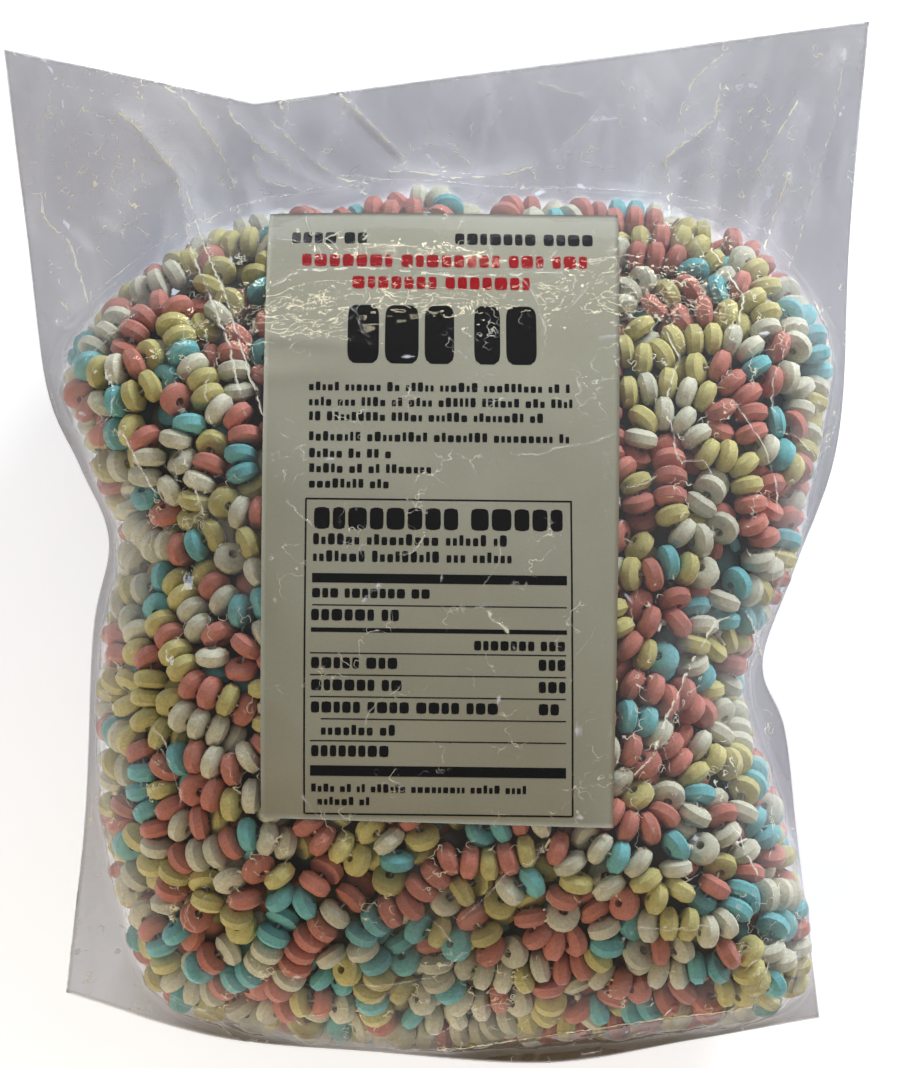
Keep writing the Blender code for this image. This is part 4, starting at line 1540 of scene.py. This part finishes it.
filmLook = {
    "haze": "#B8B7C0",
    "hazeTouching": 0.004,
    "hazeOnBeads": 0.045,  # a milky veil over the beads that also lifts their shade as painted light, most of it towards the bag's right and its top end
    "hazeEmpty": 0.16,  # of one sheet that stands clear of the beads
    "hazeAround": 0.2,  # over the heap's outermost beads
    "aroundReach": 20.0,
    "aroundFrom": (-150.0, 60.0),  # its lowest place, and the length over which it comes to its full haze
    "backMarks": 0.4,  # how much of its lines the sheet underneath shows
    # a thin painted shade along the film's very rim
    "rimShade": 0.35,
    "sideShade": 0.12,  # how much greyer it is near its sides
    "sidesFrom": (95.0, 25.0),
    "cornerPaintedLight": 0.3,  # painted light: how much clearer the film is made in the corner at the bottom left, against the bag's shadow there
    "cornerBelow": (55.0, 60.0),
    "cornerLeft": (70.0, 30.0),
    "tint": "#D3D2D4",  # that an empty sheet gives what lies behind it
    "hemPaintedShade": "#8A7F6C",  # and the painted shade that the film gives along the bottom, where it is gathered
    "hemReach": 10.0,  # how far in from the heap's outline the painted shade reaches
    "hemBelow": (125.0, 15.0),
    "hemLeft": (-105.0, 60.0),
    "hemRight": (-118.0, 25.0),
    "emptyGap": 6.0,  # how far off the beads a sheet counts as empty
    "labelVeil": 0.03,  # painted sheen over the label's top end, drawn as milky film
    "veilFrom": (76.0, 20.0),
    "facetWidth": 17.0,
    "facetStretch": 2.6,
    "facetTurn": -0.3,
    "pleatReach": 3.2,  # how far a crease's painted lighter side reaches, over its half width
    "shine": 0.03,  # what it mirrors head on
    "edgeShine": 0.55,  # and more of it edge on
    "roughness": 0.045,
    "passes": 0.88,  # of a lamp's light
    "ridgeWidth": 0.8,  # half width of a crease's crest
    "lineWidth": 0.4,  # and of the painted highlight line along it
    "ridgeWander": 2.6,  # how far a crease strays from its line
    "wanderSize": 3.5,  # across one of its bends
    "creaseHighlightColour": "#F4F0CE",  # painted highlight of the creases, drawn as film whitened by creasing
    "creaseHighlightMilk": 0.75,
    # painted glints, drawn as bluish-white milky film
    "glintColour": "#E4E8F8",
    "glintMilk": 0.55,
    "bump": 1.0,
    "crinkleSize": 8.0,
    "crinkleWidth": 0.045,  # of its size
    "crinkleTwist": 10.0,  # how far the crinkles' pattern is twisted
    "crinklesTouching": 0.5,
    "crinklesEmpty": 0.55,
    "rippleHeight": 0.14,
}


def filmMaterial():
    # clear polypropylene film: painted glints and highlight lines on its creases, a lavender-grey haze where
    # it is off the beads
    f = filmLook
    material, tree, place = newMaterial("clearPolypropylene")
    mark = {}
    for name in ("creaseA", "sharpA", "creaseB", "sharpB", "glint", "scribbled", "hazy", "tinted", "shaded",
                 "empty"):
        mark[name] = addNode(tree, "ShaderNodeAttribute", {"attribute_name": name}).outputs["Fac"]
    smoothly, inColour = {"interpolation_type": "SMOOTHSTEP"}, {"data_type": "RGBA"}
    times, timesAndPlus, greater = ({"operation": name} for name in ("MULTIPLY", "MULTIPLY_ADD", "MAXIMUM"))
    wander = addNode(tree, "ShaderNodeTexNoise",
                     inputs={"Scale": 1 / (f["wanderSize"] * mm), "Detail": 1.0, "Vector": place})
    stray = addNode(tree, "ShaderNodeMath", timesAndPlus,
                    {0: wander, 1: f["ridgeWander"], 2: -f["ridgeWander"] / 2})

    # each crease is a ridge in the bump and a painted highlight line along its crest
    height = addNode(tree, "ShaderNodeMath", times, {0: wander, 1: f["rippleHeight"]})
    lines = 0.0
    for group in "AB":
        strayed = addNode(tree, "ShaderNodeMath", inputs={0: mark["crease" + group], 1: stray})
        far = addNode(tree, "ShaderNodeMath", {"operation": "ABSOLUTE"}, {0: strayed})
        sharp = mark["sharp" + group]
        ridge, line = (addNode(tree, "ShaderNodeMapRange", smoothly, {0: far, 2: f[width], 3: sharp, 4: 0.0})
                       for width in ("ridgeWidth", "lineWidth"))
        height = addNode(tree, "ShaderNodeMath", inputs={0: height, 1: ridge})
        lines = addNode(tree, "ShaderNodeMath", inputs={0: lines, 1: line})
    bump = addNode(tree, "ShaderNodeBump",
                   inputs={"Strength": 1.0, "Distance": f["bump"] * mm, "Height": height})

    # fine crinkles in patches, drawn as painted highlight lines, a little more of them where the film is
    # empty
    offset = addNode(tree, "ShaderNodeVectorMath", {"operation": "SCALE"},
                     {0: wander.outputs["Color"], "Scale": f["crinkleTwist"] * mm})
    twisted = addNode(tree, "ShaderNodeVectorMath", inputs={0: place, 1: offset})
    crinkles = addNode(tree, "ShaderNodeTexVoronoi",
                       {"feature": "DISTANCE_TO_EDGE", "voronoi_dimensions": "2D"},
                       {"Scale": 1 / (f["crinkleSize"] * mm), "Vector": twisted})
    most = addNode(tree, "ShaderNodeMapRange",
                   inputs={0: mark["empty"], 3: f["crinklesTouching"], 4: f["crinklesEmpty"]})
    share = addNode(tree, "ShaderNodeMath", times, {0: mark["scribbled"], 1: most})
    crinkled = addNode(tree, "ShaderNodeMapRange", smoothly,
                       {0: crinkles, 2: f["crinkleWidth"], 3: share, 4: 0.0})
    lines = addNode(tree, "ShaderNodeMath", inputs={0: lines, 1: crinkled})
    broken = addNode(tree, "ShaderNodeMapRange", smoothly, {0: wander, 1: 0.36, 2: 0.6, 4: lines})
    paintedCreaseHighlight = addNode(tree, "ShaderNodeMapRange", inputs={0: broken, 2: 0.5, 4: f["creaseHighlightMilk"]})
    ragged = addNode(tree, "ShaderNodeMath", timesAndPlus, {0: wander, 1: 1.6, 2: mark["glint"]})
    glinting = addNode(tree, "ShaderNodeMapRange", smoothly, {0: ragged, 1: 0.8, 2: 1.5})
    glintMilk = addNode(tree, "ShaderNodeMath", times, {0: glinting, 1: f["glintMilk"]})

    # milky film, with the painted glints and crease highlights in it, over clear film, mirroring more edge
    # on, and plainly clear to a lamp's light
    milkColour, tint = hexColour(f["haze"]), (1, 1, 1, 1)
    for colour, much in (("glintColour", glinting), ("creaseHighlightColour", paintedCreaseHighlight)):
        milkColour = addNode(tree, "ShaderNodeMix", inColour,
                             {6: milkColour, 7: hexColour(f[colour]), "Factor": much})
    # the sheet's grey tint, then the painted shade of the hem and rim
    for colour, much in (("tint", "tinted"), ("hemPaintedShade", "shaded")):
        tint = addNode(tree, "ShaderNodeMix", inColour,
                       {6: tint, 7: hexColour(f[colour]), "Factor": mark[much]})
    milk = mark["hazy"]
    for more in (glintMilk, paintedCreaseHighlight):
        milk = addNode(tree, "ShaderNodeMath", greater, {0: milk, 1: more})
    clear = addNode(tree, "ShaderNodeBsdfTransparent", inputs={"Color": tint})
    milky = addNode(tree, "ShaderNodeBsdfDiffuse", inputs={"Color": milkColour})
    body = addNode(tree, "ShaderNodeMixShader", inputs={0: milk, 1: clear, 2: milky})
    facing = addNode(tree, "ShaderNodeLayerWeight", inputs={"Blend": 0.5, "Normal": bump}).outputs["Facing"]
    edgeOn = addNode(tree, "ShaderNodeMath", {"operation": "POWER"}, {0: facing, 1: 5.0})
    mirror = addNode(tree, "ShaderNodeMath", timesAndPlus, {0: edgeOn, 1: f["edgeShine"], 2: f["shine"]})
    gloss = addNode(tree, "ShaderNodeBsdfAnisotropic",
                    inputs={"Color": (1, 1, 1, 1), "Roughness": f["roughness"], "Normal": bump})
    both = addNode(tree, "ShaderNodeMixShader", inputs={0: mirror, 1: body, 2: gloss})
    rays = addNode(tree, "ShaderNodeLightPath").outputs
    plain = addNode(tree, "ShaderNodeMath", greater, {0: rays["Is Shadow Ray"], 1: rays["Is Diffuse Ray"]})
    lit = addNode(tree, "ShaderNodeBsdfTransparent", inputs={"Color": (f["passes"],) * 3 + (1.0,)})
    shown = addNode(tree, "ShaderNodeMixShader", inputs={0: plain, 1: both, 2: lit})
    addNode(tree, "ShaderNodeOutputMaterial", inputs={"Surface": shown})
    return material


# The floor, the lights and the camera

stageLook = {
    "floorSize": 16000.0,
    "floorColour": "#FAFAFB",
    "floorGlow": 0.55,  # a product table is lit from below as well
    "glowColour": "#E2ECFF",
    "skyNear": ("#F4F7FC", 0.36),  # the studio's soft light past the bag's top end, and past its bottom end
    "skyFar": ("#FAF2E0", 0.14),
    "skyTurn": (0.28, 0.96, 0.0),  # the way towards the brighter end
    "backdrop": "#EEF0F4",  # what shows past the floor in a low view
    "cameraHeight": 1200.0,
    "cameraAim": (4.5, 1.1),
    "lens": 125.0,
}

lamps = [  # name, place, what it points at, size, power, colour, whether the film mirrors it
    ("softKey", (600.0, 810.0, 300.0), (0.0, 0.0, 30.0), (600.0, 200.0), 11.8, "#F1FAFF", False),
    ("lowFill", (-450.0, -700.0, 500.0), (0.0, 0.0, 30.0), (300.0, 300.0), 4.2, "#FFE8BC", False),
    ("sideFill", (800.0, 0.0, 450.0), (0.0, 0.0, 30.0), (300.0, 300.0), 1.2, "#FFE6CC", False),
    ("nearTube", (-120.0, 1250.0, 515.0), (0.0, 0.0, 40.0), (1500.0, 20.0), 1.5, "#FFF4D4", True),
    ("farTube", (150.0, 1500.0, 400.0), (0.0, 0.0, 40.0), (1500.0, 20.0), 2.6, "#FFF6DC", True),
    ("windowLight", (-1200.0, 350.0, 460.0), (0.0, 0.0, 40.0), (160.0, 100.0), 0.5, "#DCE8FF", True),
]


def makeFloor():
    s = stageLook
    material, tree, _ = newMaterial("paleBoard")
    shader = addNode(tree, "ShaderNodeBsdfPrincipled", inputs={
        "Base Color": hexColour(s["floorColour"]), "Roughness": 0.9,
        "Emission Color": hexColour(s["glowColour"]), "Emission Strength": s["floorGlow"],
    })
    addNode(tree, "ShaderNodeOutputMaterial", inputs={"Surface": shader})
    h = s["floorSize"] / 2
    floor = meshObject("floor", [(-h, -h, 0), (h, -h, 0), (h, h, 0), (-h, h, 0)], [[0, 1, 2, 3]], material)


def makeSky():
    # soft light all round, brighter past the bag's top end, and a plain backdrop where the camera sees it
    s = stageLook
    world = bpy.data.worlds.new("studio")
    bpy.context.scene.world = world
    world.use_nodes = True
    tree = world.node_tree
    tree.nodes.clear()
    towards = addNode(tree, "ShaderNodeTexCoord").outputs["Generated"]
    along = addNode(tree, "ShaderNodeVectorMath", {"operation": "DOT_PRODUCT"}, {0: towards, 1: s["skyTurn"]})
    share = addNode(tree, "ShaderNodeMapRange", inputs={0: along, 1: -1.0, 2: 1.0})
    (near, nearStrength), (far, farStrength) = s["skyNear"], s["skyFar"]
    colour = addNode(tree, "ShaderNodeMix", {"data_type": "RGBA"},
                     {6: hexColour(far), 7: hexColour(near), "Factor": share})
    strength = addNode(tree, "ShaderNodeMapRange", inputs={0: share, 3: farStrength, 4: nearStrength})
    glow = addNode(tree, "ShaderNodeBackground", inputs={"Color": colour, "Strength": strength})
    paper = addNode(tree, "ShaderNodeBackground", inputs={"Color": hexColour(s["backdrop"])})
    seen = addNode(tree, "ShaderNodeLightPath").outputs["Is Camera Ray"]
    both = addNode(tree, "ShaderNodeMixShader", inputs={0: seen, 1: glow, 2: paper})
    addNode(tree, "ShaderNodeOutputWorld", inputs={"Surface": both})


def makeLights():
    for name, place, aim, size, power, colour, mirrored in lamps:
        light = bpy.data.lights.new(name, "AREA")
        light.shape = "RECTANGLE"
        light.size, light.size_y = size[0] * mm, size[1] * mm
        light.energy = power
        light.color = hexColour(colour)[:3]
        lamp = link(bpy.data.objects.new(name, light))
        lamp.visible_glossy = mirrored
        lamp.location = Vector(place) * mm
        lamp.rotation_mode = "QUATERNION"
        lamp.rotation_quaternion = (Vector(aim) - Vector(place)).to_track_quat("-Z", "Y")


def makeCamera():
    camera = bpy.data.cameras.new("camera")
    camera.sensor_width = 36.0
    camera.lens = stageLook["lens"]
    camera.clip_start, camera.clip_end = 0.05, 20.0
    made = link(bpy.data.objects.new("camera", camera))
    x, y = stageLook["cameraAim"]
    made.location = (x * mm, y * mm, stageLook["cameraHeight"] * mm)
    bpy.context.scene.camera = made
    bpy.context.scene.view_settings.view_transform = "Standard"


print("packing the necklaces")
beadPlaces = packNecklaces()
beadsShown = showingBeads(beadPlaces.reshape(-1, 3))
makeBeads(beadPlaces, beadsShown)
print("core, elastic, label and print")
makeCore()
makeElastics(beadPlaces)
makeLabel()
makePrint()
print("drawing the film over them")
makeFilm(beadPlaces.reshape(-1, 3)[beadsShown])
print("lights, floor and camera")
makeFloor()
makeSky()
makeLights()
makeCamera()
